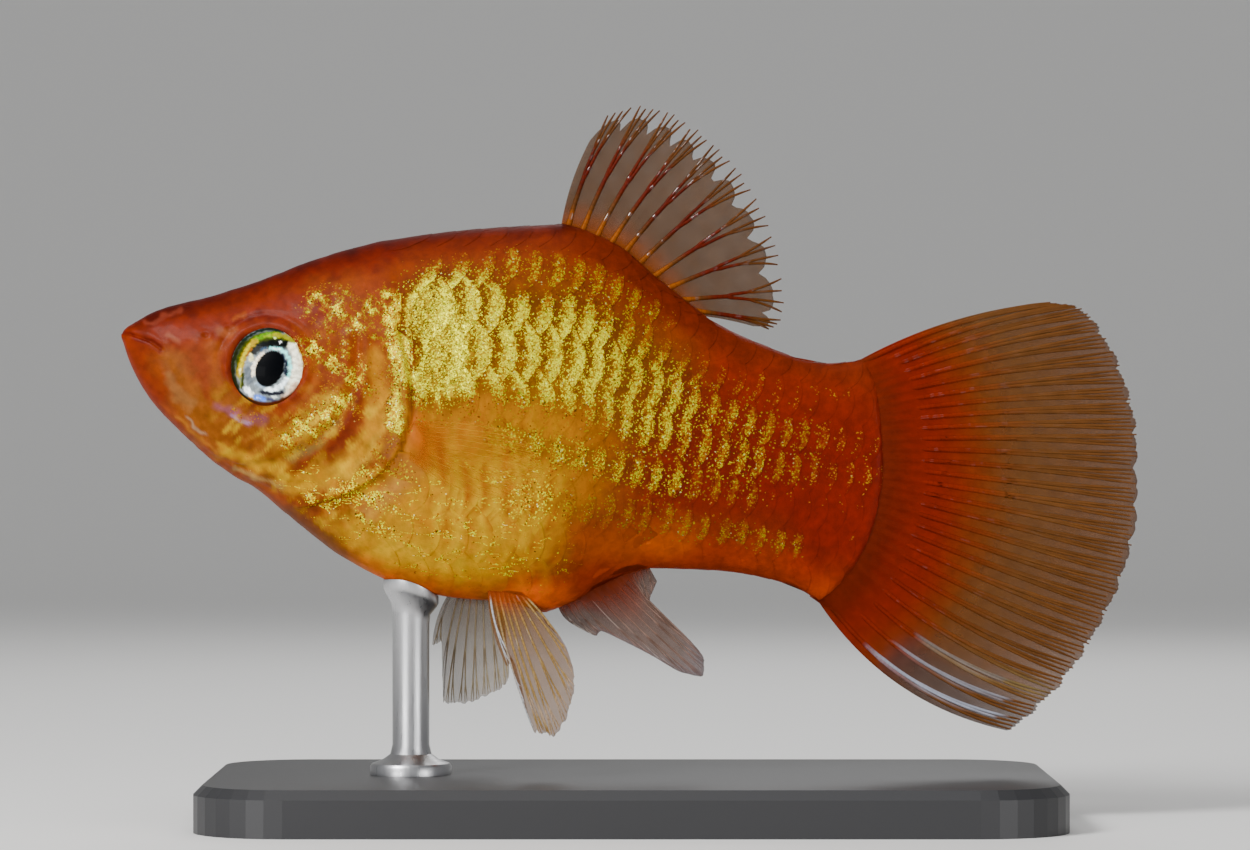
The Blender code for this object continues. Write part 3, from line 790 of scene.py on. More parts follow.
# Ground, then strokes of (colour, strength, reach, softness, line) over both flanks.
markings = {
    "ground": (165, 62, 8),
    "strokes": [
        ((160, 46, 2), 1.0, 7.5, 5.0, [(27, 0), (44, -4)]),
        ((152, 84, 4), 0.9, 5.0, 3.5, [(18, 3.5), (23, 3.5), (28, 0.5)]),
        ((206, 128, 0), 1.0, 8.0, 6.5, [(16, -4.5), (22, -3)]),
        ((152, 34, 0), 1.0, 8.5, 6.0, [(33, -4), (44, -5)]),
        ((146, 26, 0), 0.9, 5.5, 4.0, [(36, -5), (41, -5)]),
        ((158, 30, 4), 0.55, 3.2, 2.5, [(39.6, -6.6)]),
        ((124, 38, 0), 0.9, 1.9, 1.3,
         [(42.2, 2.6), (42.8, -0.5), (43.0, -4), (42.4, -8), (40.6, -11.6)]),
        ((154, 50, 2), 0.9, 3.6, 2.8, [(24, -9), (29, -8), (34, -8.5)]),
        ((160, 50, 2), 0.9, 1.7, 1.2, [(24, -10.5), (27, -9), (33, -9.2)]),
        ((196, 84, 2), 0.85, 1.7, 1.4, [(24.8, -7.7), (30, -7.4)]),
        ((236, 166, 0), 0.95, 3.6, 2.6, [(14, -6.5), (19, -7.5)]),
        ((200, 142, 8), 0.6, 2.0, 1.8, [(12.2, -7.0), (14.8, -8.2)]),
        ((250, 196, 10), 0.6, 1.3, 1.2, [(14.5, -8.0), (18.5, -8.7)]),
        ((220, 140, 0), 0.7, 2.2, 1.8, [(19.5, -4.5), (22, -7.5)]),
        ((214, 122, 14), 0.75, 1.5, 1.0, [(16.2, -2.4), (18.8, -1.9)]),
        ((200, 96, 0), 0.8, 1.3, 1.0, [(12, -8.8), (16, -10.3), (21, -10.9)]),
        ((118, 60, 8), 0.85, 1.5, 1.1, [(8.6, -6.3), (10.4, -7.6), (11.6, -8.6)]),
        ((230, 84, 0), 0.7, 0.7, 0.6, [(14, -9.9), (18, -10.9), (21, -11.2)]),
        ((226, 90, 2), 0.9, 1.4, 1.1, [(21.6, -10.6), (23.4, -10.6)]),
        ((226, 110, 6), 0.7, 1.0, 0.9, [(17, -3.2), (15.6, -1.2)]),
        # back and top of the head
        ((138, 40, 2), 0.95, 2.0, 1.2,
         [(9, 7.4), (15, 8.9), (23, 9.6), (27, 8.2), (30, 5.6), (34, 3.3), (40, 2.2)]),
        ((128, 30, 2), 0.6, 1.2, 0.9, [(10, 7.8), (16, 9.2), (23, 9.8)]),
        ((158, 66, 8), 1.0, 3.4, 1.6, [(1.5, 1.5), (4, -0.5), (8, -3), (11.5, -3.5)]),
        ((168, 92, 20), 0.9, 2.4, 1.6, [(4.6, -0.6), (8, -3), (11.5, -3.2)]),
        ((164, 70, 6), 1.0, 3.0, 1.6, [(11, 5), (13.5, 2), (13, -1)]),
        ((134, 30, 2), 0.95, 1.8, 1.3, [(0.6, 4.6), (4, 5.3), (9, 7.2), (14, 8.6)]),
        ((150, 42, 3), 0.9, 1.6, 1.2, [(1.0, 3.4), (4, 4.2), (7.5, 5.0), (10.5, 5.0)]),
        ((88, 12, 0), 1.0, 1.5, 1.4,
         [(1.0, 4.9), (3.2, 5.4), (6, 6.4), (10, 8.0), (15, 9.3), (20, 10), (24, 10)]),
        # snout and cheek
        ((168, 92, 26), 0.8, 0.9, 0.8, [(2.6, 2.2), (3.4, 1.2), (4.0, 0.2)]),
        ((180, 122, 62), 0.6, 0.5, 0.45, [(2.4, 1.3), (3.0, 0.4), (3.7, -0.3)]),
        ((160, 60, 10), 0.8, 0.5, 0.45, [(3.9, 3.0), (4.3, 1.4), (4.7, 0.2)]),
        ((176, 88, 16), 0.6, 0.5, 0.45, [(4.9, 3.1), (5.0, 1.6), (5.4, 0.4)]),
        ((146, 44, 2), 0.9, 0.8, 0.6, [(0.2, 3.2), (0.9, 1.6), (1.9, 0.2)]),
        # a dark line along the mouth: painted shade where the lips meet
        ((118, 20, 2), 0.8, 0.2, 0.18, [(0.0, 3.66), (0.7, 3.5), (1.5, 3.2), (2.15, 2.75)]),
        # a pinkish line along the ridge of the upper lip: a painted highlight
        ((178, 76, 50), 0.55, 0.25, 0.24, [(1.3, 4.2), (2.2, 4.5), (3.2, 4.75)]),
        ((186, 104, 70), 0.6, 0.3, 0.28, [(2.6, 3.5), (2.9, 3.35)]),
        ((176, 92, 44), 0.7, 0.34, 0.3, [(5.3, 3.75), (6.0, 3.65)]),
        ((206, 96, 16), 0.7, 0.24, 0.22, [(6.0, 4.5), (6.5, 4.65)]),
        ((120, 22, 2), 0.7, 0.3, 0.26, [(6.0, 4.1), (7.5, 4.6), (9.1, 3.9)]),
        ((136, 40, 6), 0.75, 0.36, 0.32,
         [(0.9, 0.9), (2.4, -1.1), (4.2, -2.9), (6.6, -4.8), (8.6, -6.4)]),
        ((196, 120, 24), 0.6, 0.2, 0.18, [(2.9, -0.9), (4.2, -2.2), (5.4, -3.2)]),
        # golden cheek
        ((196, 124, 6), 0.9, 1.4, 1.3, [(8.6, -2.4), (10.3, -1.5), (11.8, -0.2)]),
        ((240, 190, 0), 0.9, 0.75, 0.7, [(8.9, -2.0), (10.4, -1.1), (11.6, 0.0)]),
        ((226, 160, 0), 0.75, 0.6, 0.5, [(5.6, -2.7), (7.4, -3.5), (9.2, -3.9)]),
        ((230, 166, 20), 0.6, 0.26, 0.25, [(5.3, -2.35), (6.4, -3.0), (7.6, -3.4)]),
        ((214, 190, 110), 0.4, 0.24, 0.22, [(6.0, -3.7), (7.4, -4.3), (9.0, -4.6)]),
        ((226, 206, 170), 0.35, 0.16, 0.15, [(3.5, -0.9), (4.3, -1.8)]),
        ((186, 100, 130), 0.6, 0.42, 0.4, [(5.2, -0.3), (6.4, -0.9), (7.6, -1.15)]),
        ((206, 170, 220), 0.5, 0.16, 0.15, [(5.9, -0.8), (7.0, -1.2)]),
        ((140, 112, 50), 0.75, 0.5, 0.45, [(11.4, -1.2), (10.4, -2.4), (9.2, -3.0)]),
        # gill cover
        ((146, 44, 6), 0.85, 0.6, 0.5, [(12.8, 0.8), (12.4, -1.2), (11.2, -2.9), (9.2, -3.8)]),
        ((226, 156, 0), 0.9, 0.9, 0.7, [(14.0, -0.2), (13.3, -2.6), (11.2, -4.1), (9.2, -4.6)]),
        ((250, 190, 40), 0.7, 0.26, 0.24, [(14.3, -1.0), (13.3, -3.2), (11.4, -4.6)]),
        ((228, 150, 0), 0.85, 0.8, 0.7, [(13.6, 2.4), (13.9, 0.6), (13.6, -1.6)]),
        ((250, 206, 10), 0.95, 0.75, 0.7, [(14.8, 0.4), (14.8, -1.4)]),
        ((255, 190, 0), 0.8, 0.9, 0.8, [(12.0, -3.8), (13.6, -5.2)]),
        ((150, 84, 60), 0.6, 0.5, 0.45, [(14.6, -2.2), (14.3, -2.9)]),
        ((190, 110, 90), 0.4, 0.8, 0.7, [(15.6, -4.0), (13.2, -6.0)]),
        # around the eye
        ((150, 44, 3), 0.75, 2.6, 0.5, [(7.83, 1.89)]),
        ((112, 24, 2), 0.8, 2.14, 0.3, [(7.83, 1.89)]),
        ((190, 100, 16), 0.6, 0.5, 0.45, [(9.4, -0.4), (10.3, 0.8), (10.5, 2.2)]),
    ],
    "fleckDensity": 14.0,  # a millimetre, as the other two
    "cloudDensity": 2.2,
    "streakDensity": 5.5,
    "film": ((190, 104, 0), (250, 214, 0)),  # under thin and under thick gold
    "dullFleck": (206, 110, 0),
    "lemonFleck": (250, 250, 0),
    "lemonBehind": (-13.0, -11.0),  # where lemon flecks begin and are in full, along X
    "flecks": [  # from which chance on, colour, and how much darker than the light
        # the last, whitish flecks are painted sparkle: glints of light laid into their colour
        (0.0, (70, 44, 0), 1.4), (0.1, (200, 100, 0), 1.8), (0.24, (246, 170, 0), 1.7),
        (0.42, (252, 214, 0), 1.45), (0.62, (255, 250, 0), 1.25), (0.97, (255, 255, 150), 0.9),
    ],
    # where gold covers the flank: (strength, reach, softness, line)
    "gold": [
        (1.0, 3.2, 2.2, [(16.6, 5.0), (17.6, 3.2), (17.4, 1.4)]),
        (0.84, 4.4, 2.6, [(18.5, 4.4), (20, 3.2), (22, 2.6), (24.5, 2.2)]),
        (0.72, 4.4, 3.0, [(24, 3.4), (27, 0.9), (29, -0.4)]),
        (0.5, 1.8, 1.4, [(21, 7.4), (25, 6.6), (28.5, 4.6)]),
        (0.52, 4.4, 3.0, [(28, 0.6), (31, -1.6), (33, -2.4)]),
        (0.38, 3.4, 2.2, [(32, -1.6), (36, -2.6)]),
        (0.2, 3.4, 2.4, [(35, -2.6), (39.3, -3.4)]),
        (0.2, 0.6, 0.5, [(33, 1.4), (36.5, 0.9), (39.0, 0.4)]),
        (0.3, 0.24, 0.2, [(39.5, -7.6), (39.9, -7.0)]),
        (0.64, 1.6, 1.2, [(20.4, -1.9), (26, -3.4), (30, -4.6)]),
        (0.36, 1.3, 1.1, [(30, -4.5), (34, -5.2)]),
        (0.4, 1.6, 1.1, [(22, -5.2), (30, -6.8), (36, -8.0)]),
        (0.46, 1.9, 1.6, [(10.9, 5.4), (12.4, 4.2), (13.4, 4.6)]),
        (0.5, 1.6, 1.4, [(10.3, 2.9), (11.4, 2.2), (13.0, 1.0)]),
        (0.9, 1.4, 1.3, [(14.7, 5.2), (14.9, 3.4), (15.3, 1.2)]),
        (0.5, 1.6, 1.5, [(9.0, -2.0), (10.4, -1.3), (12.0, 0.0)]),
        (0.92, 0.7, 0.6, [(9.2, -1.9), (10.4, -1.1), (11.6, 0.0)]),
        (0.95, 0.8, 0.7, [(14.7, 0.4), (14.8, -1.4)]),
        (0.36, 0.8, 0.7, [(14.6, -2.2), (13.2, -4.2), (11.5, -5.2)]),
        (0.45, 0.9, 0.8, [(15.8, -1.4), (19.4, -0.9)]),
        (0.05, 3.0, 1.6, [(13, -6.2), (19, -7.0), (23, -8)]),
        (0.7, 0.3, 0.26, [(10.2, -5.3), (10.8, -5.6)]),
        (0.8, 0.4, 0.34, [(13.3, -5.2), (13.9, -5.4)]),
        (0.8, 0.34, 0.3, [(12.7, -6.2), (13.1, -6.4)]),
        (0.6, 0.5, 0.45, [(13.6, -6.6), (14.6, -7.3)]),
        (0.4, 0.7, 0.6, [(12.0, -4.9), (14.4, -5.7)]),
        (0.5, 0.3, 0.26, [(14.6, -4.2), (15.6, -3.6)]),
        (0.2, 0.5, 0.4, [(5.6, -0.6), (7.4, -1.1)]),
    ],
}


# Keeps on a piece the colours of the flank at each point's own place, and the bars of its scales.
def markBody(shape, lattice=None):
    s, y, h = pointsOf(shape)
    ws, wh = seen(s, y, h)
    ws, wh = ws + 0.22 * wander(ws, wh, 0.7, 1.0), wh + 0.22 * wander(ws, wh, 0.7, 2.0)
    overBelly, underBack = h - bottomAt(s), topAt(s) - h
    colour = painted(ws, wh, markings["ground"], markings["strokes"])
    mottleAndPaintedLight = 1 + 0.14 * wander(s, h, 0.9, 5.0) + 0.08 * wander(s, h, 0.35, 6.0)
    # the underside, which the studio's light reaches least, is painted lighter
    mottleAndPaintedLight *= 1 + 0.8 * smooth((2.9 - overBelly) / 2.8) * (0.3 + 0.7 * smooth((s - 9.5) / 4))
    colour *= mottleAndPaintedLight[:, None]
    # brushed streaks over the cheek and the gill cover
    brushed = between(s, 4.6, 1.5, 15, 1.2) * smooth((1.4 - h) / 1.5) * smooth((overBelly - 0.4) / 0.8)
    brushed *= 0.4 + 0.6 * smooth(0.5 + wander(s, h, 1.3, 3.0))
    streaks = wander(0.3 * (0.75 * s + 0.66 * h), 0.75 * h - 0.66 * s, 0.36, 4.0)
    streaks += 0.5 * wander(s, h, 0.5, 2.0)
    colour *= (1 + 0.26 * brushed * streaks)[:, None]
    tinge(colour, 0.6 * brushed * smooth(1.1 * streaks), (244, 200, 0), 1.8)
    # pearly and orange spots low on the flank
    pearl = between(s, 9, 3, 25, 4) * smooth((-2.6 - h) / 2) * smooth((overBelly - 0.4) / 2)
    tinge(colour, 0.4 * pearl * smooth(0.3 + 0.8 * wander(s, h, 0.42, 7.0)), (250, 190, 50))
    tinge(colour, 0.5 * pearl * smooth(0.1 + 0.8 * wander(s, h, 0.6, 11.0)), (230, 112, 0))
    # soft upright folds of the belly, yellow on each fold and orange between: partly their own tint,
    # partly painted light on the folds and painted shade between them
    folded = between(ws, 15.8, 1.5, 25, 3) * bump(wh + 5.4, 3.6)
    waves = np.sin(2 * np.pi * (s / 1.1 + 0.06 * h) + 1.3 * wander(s, h, 1.6))
    folds = folded * (0.5 + 0.5 * waves)
    tinge(colour, 0.6 * (folded - folds), (206, 98, 0))
    tinge(colour, 0.6 * folds, (255, 210, 10), 1.6)
    gold = covered(ws, wh, markings["gold"])
    gold *= np.where(s < 12, smooth((underBack - 1.2) / 0.9), smooth((underBack - 0.6) / 1.0))
    gold *= smooth((overBelly - 0.8) / 1.2)
    onHead = smooth((15.4 - s) / 1.5)
    gold *= 1 + onHead * (1.1 * wander(s, h, 0.55, 8.0) + 0.8 * wander(s, h, 0.25, 9.0) - 0.05)
    store(shape, "tint", np.clip(np.concatenate([colour, gold[:, None]], -1), 0, 1))
    if lattice is None:
        lattice = latticeOf(s, h)
    # no scales show on the head and belly, only loose clusters of flecks
    bare = smooth((gillOpening(h) + 0.2 - s) / 0.4)
    bare = np.maximum(bare, smooth((-3.4 - h) / 1.0) * smooth((23.5 - s) / 2))[:, None]
    lattice[:, :2] += bare * (np.array([0.3, 0.0]) - lattice[:, :2])
    lattice[:, 2] = smooth((-2.4 - h) / 2.0) * smooth((25.5 - s) / 3) * smooth((overBelly - 0.5) / 1.2)
    store(shape, "bars", lattice)


# What skin and scales share: colour, metal, gloss and grain from the marks on each point.
def markingsGroup():
    group = newGroup("flankMarkings", [
        ("Colour", "Color"), ("Metal", "Float"), ("Gloss", "Float"), ("Normal", "Vector"),
        ("Height", "Float"),
    ])
    tint = attribute(group, "tint")
    gold = tint["Alpha"]
    forward, beside, loose = split(group, attribute(group, "bars")["Vector"])
    spot = scaled(group, objectPlace(group), 1 / millimetre)
    grain = add(group, "ShaderNodeTexVoronoi", {
        "Vector": spot, "Scale": markings["fleckDensity"],
    }).outputs["Color"]
    chance, choice, glow = add(group, "ShaderNodeSeparateColor", {0: grain}).outputs
    cloud = noise(group, spot, markings["cloudDensity"], 3.0, Roughness=0.6)
    streak = noise(group, spot, markings["streakDensity"])
    flat = vectors(group, "MULTIPLY", spot, (0.7, 0.7, 2.6))
    curl = noise(group, flat, 0.9)
    patch = noise(group, flat, 0.8, 1.0)
    # each scale carries a band of gold behind a dark gap
    edge = calculate(group, "MULTIPLY_ADD", calculate(group, "SUBTRACT", streak, 0.5), 0.85, forward)
    edge = calculate(group, "DIVIDE", edge, calculate(group, "MULTIPLY_ADD", gold, 0.5, 0.6))
    band = stretch(group, edge, 0.36, 0.78, (1.0, 0.0))
    band = product(group, stretch(group, edge, -0.06, 0.2), band)
    # towards the tail the bands shrink to short dashes
    reach = calculate(group, "MULTIPLY_ADD", gold, -0.75, calculate(group, "ABSOLUTE", beside))
    band = product(group, band, stretch(group, reach, 0.18, 0.5, (1.0, 0.1)))
    band = calculate(group, "MAXIMUM", band, stretch(group, gold, 0.84, 1.0, (0.0, 0.3)))
    amount = product(group, gold, band, stretch(group, cloud, 0.3, 0.62, (0.55, 1.15)))
    amount = calculate(group, "MULTIPLY_ADD", gold, 0.26, amount)
    # and where it is thick, its bands melt together in patches
    melted = stretch(group, gold, 0.7, 0.95, (0.0, 0.35))
    melted = product(group, stretch(group, cloud, 0.5, 0.6), melted)
    amount = calculate(group, "MULTIPLY_ADD", melted, band, amount)
    # where the gold is thickest, ragged cracks run through it
    cracks = stretch(group, offMiddle(group, streak), 0.0, 0.035, (1.0, 0.0))
    cracks = product(group, cracks, stretch(group, gold, 0.72, 0.95, (0.0, 0.6)))
    amount = calculate(group, "SUBTRACT", amount, cracks)
    film = stretch(group, amount, 0.1, 0.8, (0.0, 0.9))
    # loose curled streaks glitter on the belly
    ridge = stretch(group, offMiddle(group, curl), 0.0, 0.03, (1.0, 0.0))
    lines = product(group, ridge, stretch(group, patch, 0.45, 0.58), loose)
    amount = calculate(group, "ADD", amount, lines, clamp=True)
    fleck = calculate(group, "GREATER_THAN", chance, calculate(group, "SUBTRACT", 1.04, amount))
    chosen = calculate(group, "MAXIMUM", choice, stretch(group, gold, 0.7, 0.95, (0.0, 0.26)))
    ramp = add(group, "ShaderNodeValToRGB", {0: chosen})
    ramp.color_ramp.interpolation = "CONSTANT"
    steps = ramp.color_ramp.elements
    while len(steps) < len(markings["flecks"]):
        steps.new(1)
    for step, (where, colour, light) in zip(steps, markings["flecks"]):
        step.position = where
        step.color = (*tone(*colour, light=light), 1)
    thin, thick = (tuple(tone(*pigment)) for pigment in markings["film"])
    rich = blended(group, stretch(group, gold, 0.6, 1.0), thin, thick)
    gap = calculate(group, "SUBTRACT", 1.0, band)
    hollow = product(group, gap, stretch(group, gold, 0.3, 0.7, (0.0, 0.3)))
    left = calculate(group, "SUBTRACT", 1.0, calculate(group, "ADD", hollow, cracks))
    under = blended(group, film, scaled(group, tint["Color"], left), rich)
    shown = stretch(group, calculate(group, "MAXIMUM", gold, loose), 0.2, 0.7, (0.15, 1.0))
    dull = tuple(tone(*markings["dullFleck"], light=1.7))
    sheen = blended(group, shown, dull, ramp.outputs[0])
    # behind the head the thickest gold turns lemon, fleck by fleck
    behindHead = stretch(group, split(group, spot)[0], *markings["lemonBehind"])
    lemon = product(group, stretch(group, gold, 0.5, 1.0, (0.0, 0.75)), behindHead)
    yellow = tuple(tone(*markings["lemonFleck"], light=1.1))
    glitter = scaled(group, yellow, stretch(group, glow, 0.0, 0.75, (0.14, 1.15)))
    sheen = blended(group, lemon, sheen, glitter)
    mottled = scaled(group, under, stretch(group, cloud, 0.3, 0.7, (0.86, 1.14)))
    dim = stretch(group, gold, 0.15, 0.35, (0.9, 0.56))
    full = stretch(group, gold, 0.6, 1.0, (0.56, 1.0))
    light = calculate(group, "MAXIMUM", calculate(group, "MAXIMUM", dim, full), loose)
    colour = blended(group, fleck, mottled, scaled(group, sheen, light))
    # each fleck is tilted its own way
    tilt = vectors(group, "SUBTRACT", grain, (0.5, 0.5, 0.5))
    tilted = scaled(group, tilt, product(group, fleck, 0.5))
    facing = add(group, "ShaderNodeNewGeometry").outputs["Normal"]
    normal = vectors(group, "NORMALIZE", vectors(group, "ADD", facing, tilted))
    metal, gloss = product(group, fleck, 0.2), stretch(group, fleck, 0.0, 1.0, (0.5, 0.36))
    outputs = (colour, metal, gloss, normal, product(group, streak, 0.5))
    add(group, "NodeGroupOutput", dict(enumerate(outputs)))
    return group


def fleshMaterial(name, group, **constants):
    look, tree, shader = newMaterial(name, **constants)
    marks = add(tree, "ShaderNodeGroup", node_tree=group).outputs
    grain = bumped(tree, marks["Height"], 0.25, 0.00006, Normal=marks["Normal"])
    feed(
        tree, shader, Base_Color=marks["Colour"], Metallic=marks["Metal"],
        Roughness=marks["Gloss"], Normal=grain,
    )
    return look


flankMarks = markingsGroup()
skinLook, scaleLook = (
    fleshMaterial(name, flankMarks, Coat_Weight=0.02, Coat_Roughness=rough, Specular_IOR_Level=0.06)
    for name, rough in (("wetSkin", 0.15), ("neonScales", 0.2))
)


eye = {
    "place": (8.08, 1.85),
    "radius": 2.25,
    "halfDepth": 1.35,
    "standsOut": 0.7,
    "axis": (-0.16, -1.0, 0.16),
    "pupilAt": (0.27, -0.29),  # back and up from the middle of the ball
    "pupil": (0.76, 0.97, 0.30),  # half width, half height, lean of its top backwards
    "around": 160,
    "rings": 96,
    "ground": (140, 150, 152),
    "black": (3, 5, 10),
    # the rim colours are painted shade where the socket's skin meets the ball
    "rim": ((120, 46, 4), (30, 34, 12)),  # behind and in front
    "rimShadeAt": 1.95,
    # strokes in millimetres back and up from the middle of the pupil
    "iris": [
        ((96, 104, 112), 0.9, 0.4, 0.3, [(-1.2, -0.1), (-1.1, -0.6)]),
        ((66, 76, 10), 1.0, 0.36, 0.25, [(-1.2, 1.0), (-0.6, 1.5), (0.3, 1.64), (0.8, 1.5)]),
        ((8, 12, 10), 1.0, 0.36, 0.24, [(-0.92, 0.92), (-0.5, 1.24), (0.1, 1.4), (0.8, 1.36)]),
        ((40, 70, 100), 0.8, 0.12, 0.1, [(-0.5, 1.0), (-0.3, 1.12)]),
        ((255, 250, 220), 1.0, 0.42, 0.2,
         [(1.2, 1.3), (1.44, 0.8), (1.5, 0.15), (1.4, -0.46), (1.1, -1.07)]),
        ((255, 214, 180), 0.9, 0.26, 0.2, [(1.3, -0.8), (1.0, -1.3), (0.7, -1.5)]),
        ((255, 226, 190), 0.7, 0.14, 0.14, [(1.5, 0.5), (1.55, 0.0)]),
        ((200, 160, 20), 1.0, 0.16, 0.12,
         [(1.4, 1.3), (1.7, 0.7), (1.78, 0.1), (1.74, -0.4), (1.58, -0.9)]),
        ((60, 70, 6), 1.0, 0.3, 0.2,
         [(-1.75, -0.2), (-1.8, 0.6), (-1.45, 1.4), (-0.8, 1.8), (0.2, 2.0)]),
        ((100, 156, 0), 1.0, 0.24, 0.18, [(-0.95, 1.6), (-0.36, 1.86), (0.3, 1.92)]),
        ((150, 170, 0), 1.0, 0.1, 0.08, [(-0.4, 1.78), (-0.1, 1.84)]),
        ((160, 156, 0), 1.0, 0.2, 0.14, [(0.1, 1.9), (0.7, 1.82), (1.1, 1.56)]),
        ((176, 144, 0), 1.0, 0.27, 0.17,
         [(-0.93, 1.5), (-1.2, 1.18), (-1.42, 0.8), (-1.6, 0.3), (-1.72, -0.26)]),
        ((206, 190, 0), 1.0, 0.14, 0.12, [(-1.2, 1.3), (-1.5, 0.7), (-1.66, 0.1)]),
        ((140, 70, 0), 0.9, 0.09, 0.08, [(-1.06, 1.12), (-1.3, 0.7)]),
        ((250, 250, 170), 1.0, 0.1, 0.08, [(-1.68, 0.0), (-1.66, -0.2)]),
        ((50, 56, 0), 1.0, 0.16, 0.12, [(-1.5, -0.3), (-1.56, -0.95)]),
        ((140, 150, 20), 0.9, 0.08, 0.07, [(-1.7, -0.4), (-1.66, -0.9)]),
        ((250, 240, 170), 1.0, 0.19, 0.12, [(-1.08, 0.7), (-1.02, 0.5)]),
        ((255, 236, 206), 1.0, 0.16, 0.08, [(-0.4, 0.76), (-0.7, 0.46), (-0.88, 0.05), (-0.9, -0.3)]),
        ((30, 40, 56), 1.0, 0.12, 0.07, [(0.62, 0.74), (0.86, 0.3), (0.86, -0.3)]),
        ((130, 236, 226), 1.0, 0.12, 0.07,
         [(0.0, 1.1), (0.45, 1.08), (0.8, 0.88), (1.02, 0.49), (1.08, 0), (1.0, -0.4)]),
        ((240, 255, 255), 1.0, 0.05, 0.04, [(0.1, 1.1), (0.5, 1.06)]),
        ((236, 252, 255), 1.0, 0.17, 0.1, [(0.9, -0.53), (0.62, -0.9), (0.18, -1.12), (-0.22, -1.08)]),
        ((150, 170, 186), 1.0, 0.16, 0.12, [(-0.34, -1.0), (-0.72, -0.8)]),
        ((30, 30, 44), 1.0, 0.14, 0.1, [(-0.5, -1.22), (-0.09, -1.3), (0.36, -1.32), (0.62, -1.22)]),
        ((70, 116, 226), 1.0, 0.2, 0.14, [(-0.8, -1.45), (-0.4, -1.56)]),
        ((150, 180, 250), 1.0, 0.08, 0.07, [(-0.74, -1.5), (-0.6, -1.54)]),
        ((70, 70, 110), 0.9, 0.16, 0.12, [(-0.1, -1.56), (0.2, -1.66)]),
        ((220, 232, 226), 1.0, 0.12, 0.1, [(0.14, -1.5), (0.3, -1.42)]),
        ((80, 60, 40), 0.9, 0.12, 0.1, [(0.5, -1.6), (0.62, -1.52)]),
        ((244, 255, 255), 1.0, 0.22, 0.14, [(-1.36, -1.02), (-1.08, -1.3)]),
        ((230, 150, 0), 1.0, 0.12, 0.08, [(-1.2, -1.5), (-1.0, -1.66)]),
        ((255, 255, 255), 1.0, 0.08, 0.05, [(0.46, 1.46), (0.52, 1.47)]),
        ((226, 244, 140), 1.0, 0.08, 0.05, [(0.16, 1.66), (0.2, 1.67)]),
        # a dark crescent round the left and top of the ball is painted shade at the socket's edge
        ((30, 36, 12), 1.0, 0.3, 0.22,
         [(-1.9, -0.9), (-2.13, -0.3), (-2.16, 0.4), (-1.95, 1.1), (-1.6, 1.62)]),
        ((14, 34, 26), 1.0, 0.2, 0.16, [(-1.6, 1.66), (-0.9, 2.1), (-0.2, 2.26), (0.5, 2.14)]),
    ],
}


# Centre of the ball and its axis out, back and up, in millimetres. side is -1 on the left.
def eyeFrame(side):
    s, h = eye["place"]
    axis = Vector((eye["axis"][0], eye["axis"][1] * -side, eye["axis"][2])).normalized()
    centre = Vector((s, side * float(sideAt(s, h)), h)) + axis * (eye["standsOut"] - eye["halfDepth"])
    up = (Vector((0, 0, 1)) - axis * axis.z).normalized()
    back = (Vector((1, 0, 0)) - axis * axis.x - up * up.x).normalized()
    return centre, axis, back, up


# A flattened ball, its iris painted round the pupil.
def eyeball(name, side, look):
    centre, axis, back, up = (np.array(v) for v in eyeFrame(side))
    around, rings = eye["around"], eye["rings"]
    turn = 2 * np.pi * np.arange(around) / around
    polar = np.pi * np.arange(1, rings)[:, None] / rings
    radius = eye["radius"] * np.sin(polar)
    a, b = radius * np.cos(turn), radius * np.sin(turn)
    pole = axis * eye["halfDepth"]
    bulge = pole * np.cos(polar)[..., None] + back * a[..., None] + up * b[..., None]
    flat = centre + np.concatenate([[pole], bulge.reshape(-1, 3), [-pole]])
    faces = [(0, 1 + j, 1 + (j + 1) % around) for j in range(around)]
    faces += gridFaces(rings - 1, around, wrap=True, offset=1)
    last = len(flat) - 1
    faces += [(last, last - around + (j + 1) % around, last - around + j) for j in range(around)]
    ball = meshObject(name, placed(*flat.T), faces)
    faceOutwards(ball)
    # back and up from the middle of the ball, then of the pupil
    wa, wb = np.concatenate([[0], a.ravel(), [0]]), np.concatenate([[0], b.ravel(), [0]])
    far = np.hypot(wa, wb)
    wa, wb = wa - eye["pupilAt"][0], wb - eye["pupilAt"][1]
    ja = wa + 0.05 * wander(wa, wb, 0.13, 1)
    jb = wb + 0.05 * wander(wa, wb, 0.13, 4)
    colour = painted(ja, jb, eye["ground"], eye["iris"], light=1.1)
    spokes = np.sin(23 * np.arctan2(wb, wa) + 3 * wander(wa, wb, 0.3, 2))
    colour *= (1 + 0.16 * spokes + 0.14 * wander(wa, wb, 0.11, 3))[:, None]
    # the pupil, and the dark edge where the ball meets the skin, painted shade of the socket: browner
    # behind, darker in front
    wide, tall, lean = eye["pupil"]
    dark = smooth((1.04 - np.hypot((wa - lean * wb * 0.6) / wide, wb / tall)) / 0.07)
    tinge(colour, dark, eye["black"])
    rim = smooth((far - eye["rimShadeAt"]) / 0.1)
    behind, front = eye["rim"]
    edge = np.broadcast_to(tone(*behind), colour.shape).copy()
    tinge(edge, smooth(0.5 - 0.5 * wa + 0.3 * wb), front)
    colour += rim[:, None] * (edge - colour)
    shine = (1 - dark) * (1 - rim)
    store(ball, "tint", np.concatenate([np.clip(colour, 0, 1), shine[:, None]], -1))
    storeMap(ball, "Unwrap", np.stack([0.5 + wa / 5, 0.5 + wb / 5], -1))
    wear(ball, look)
    return ball


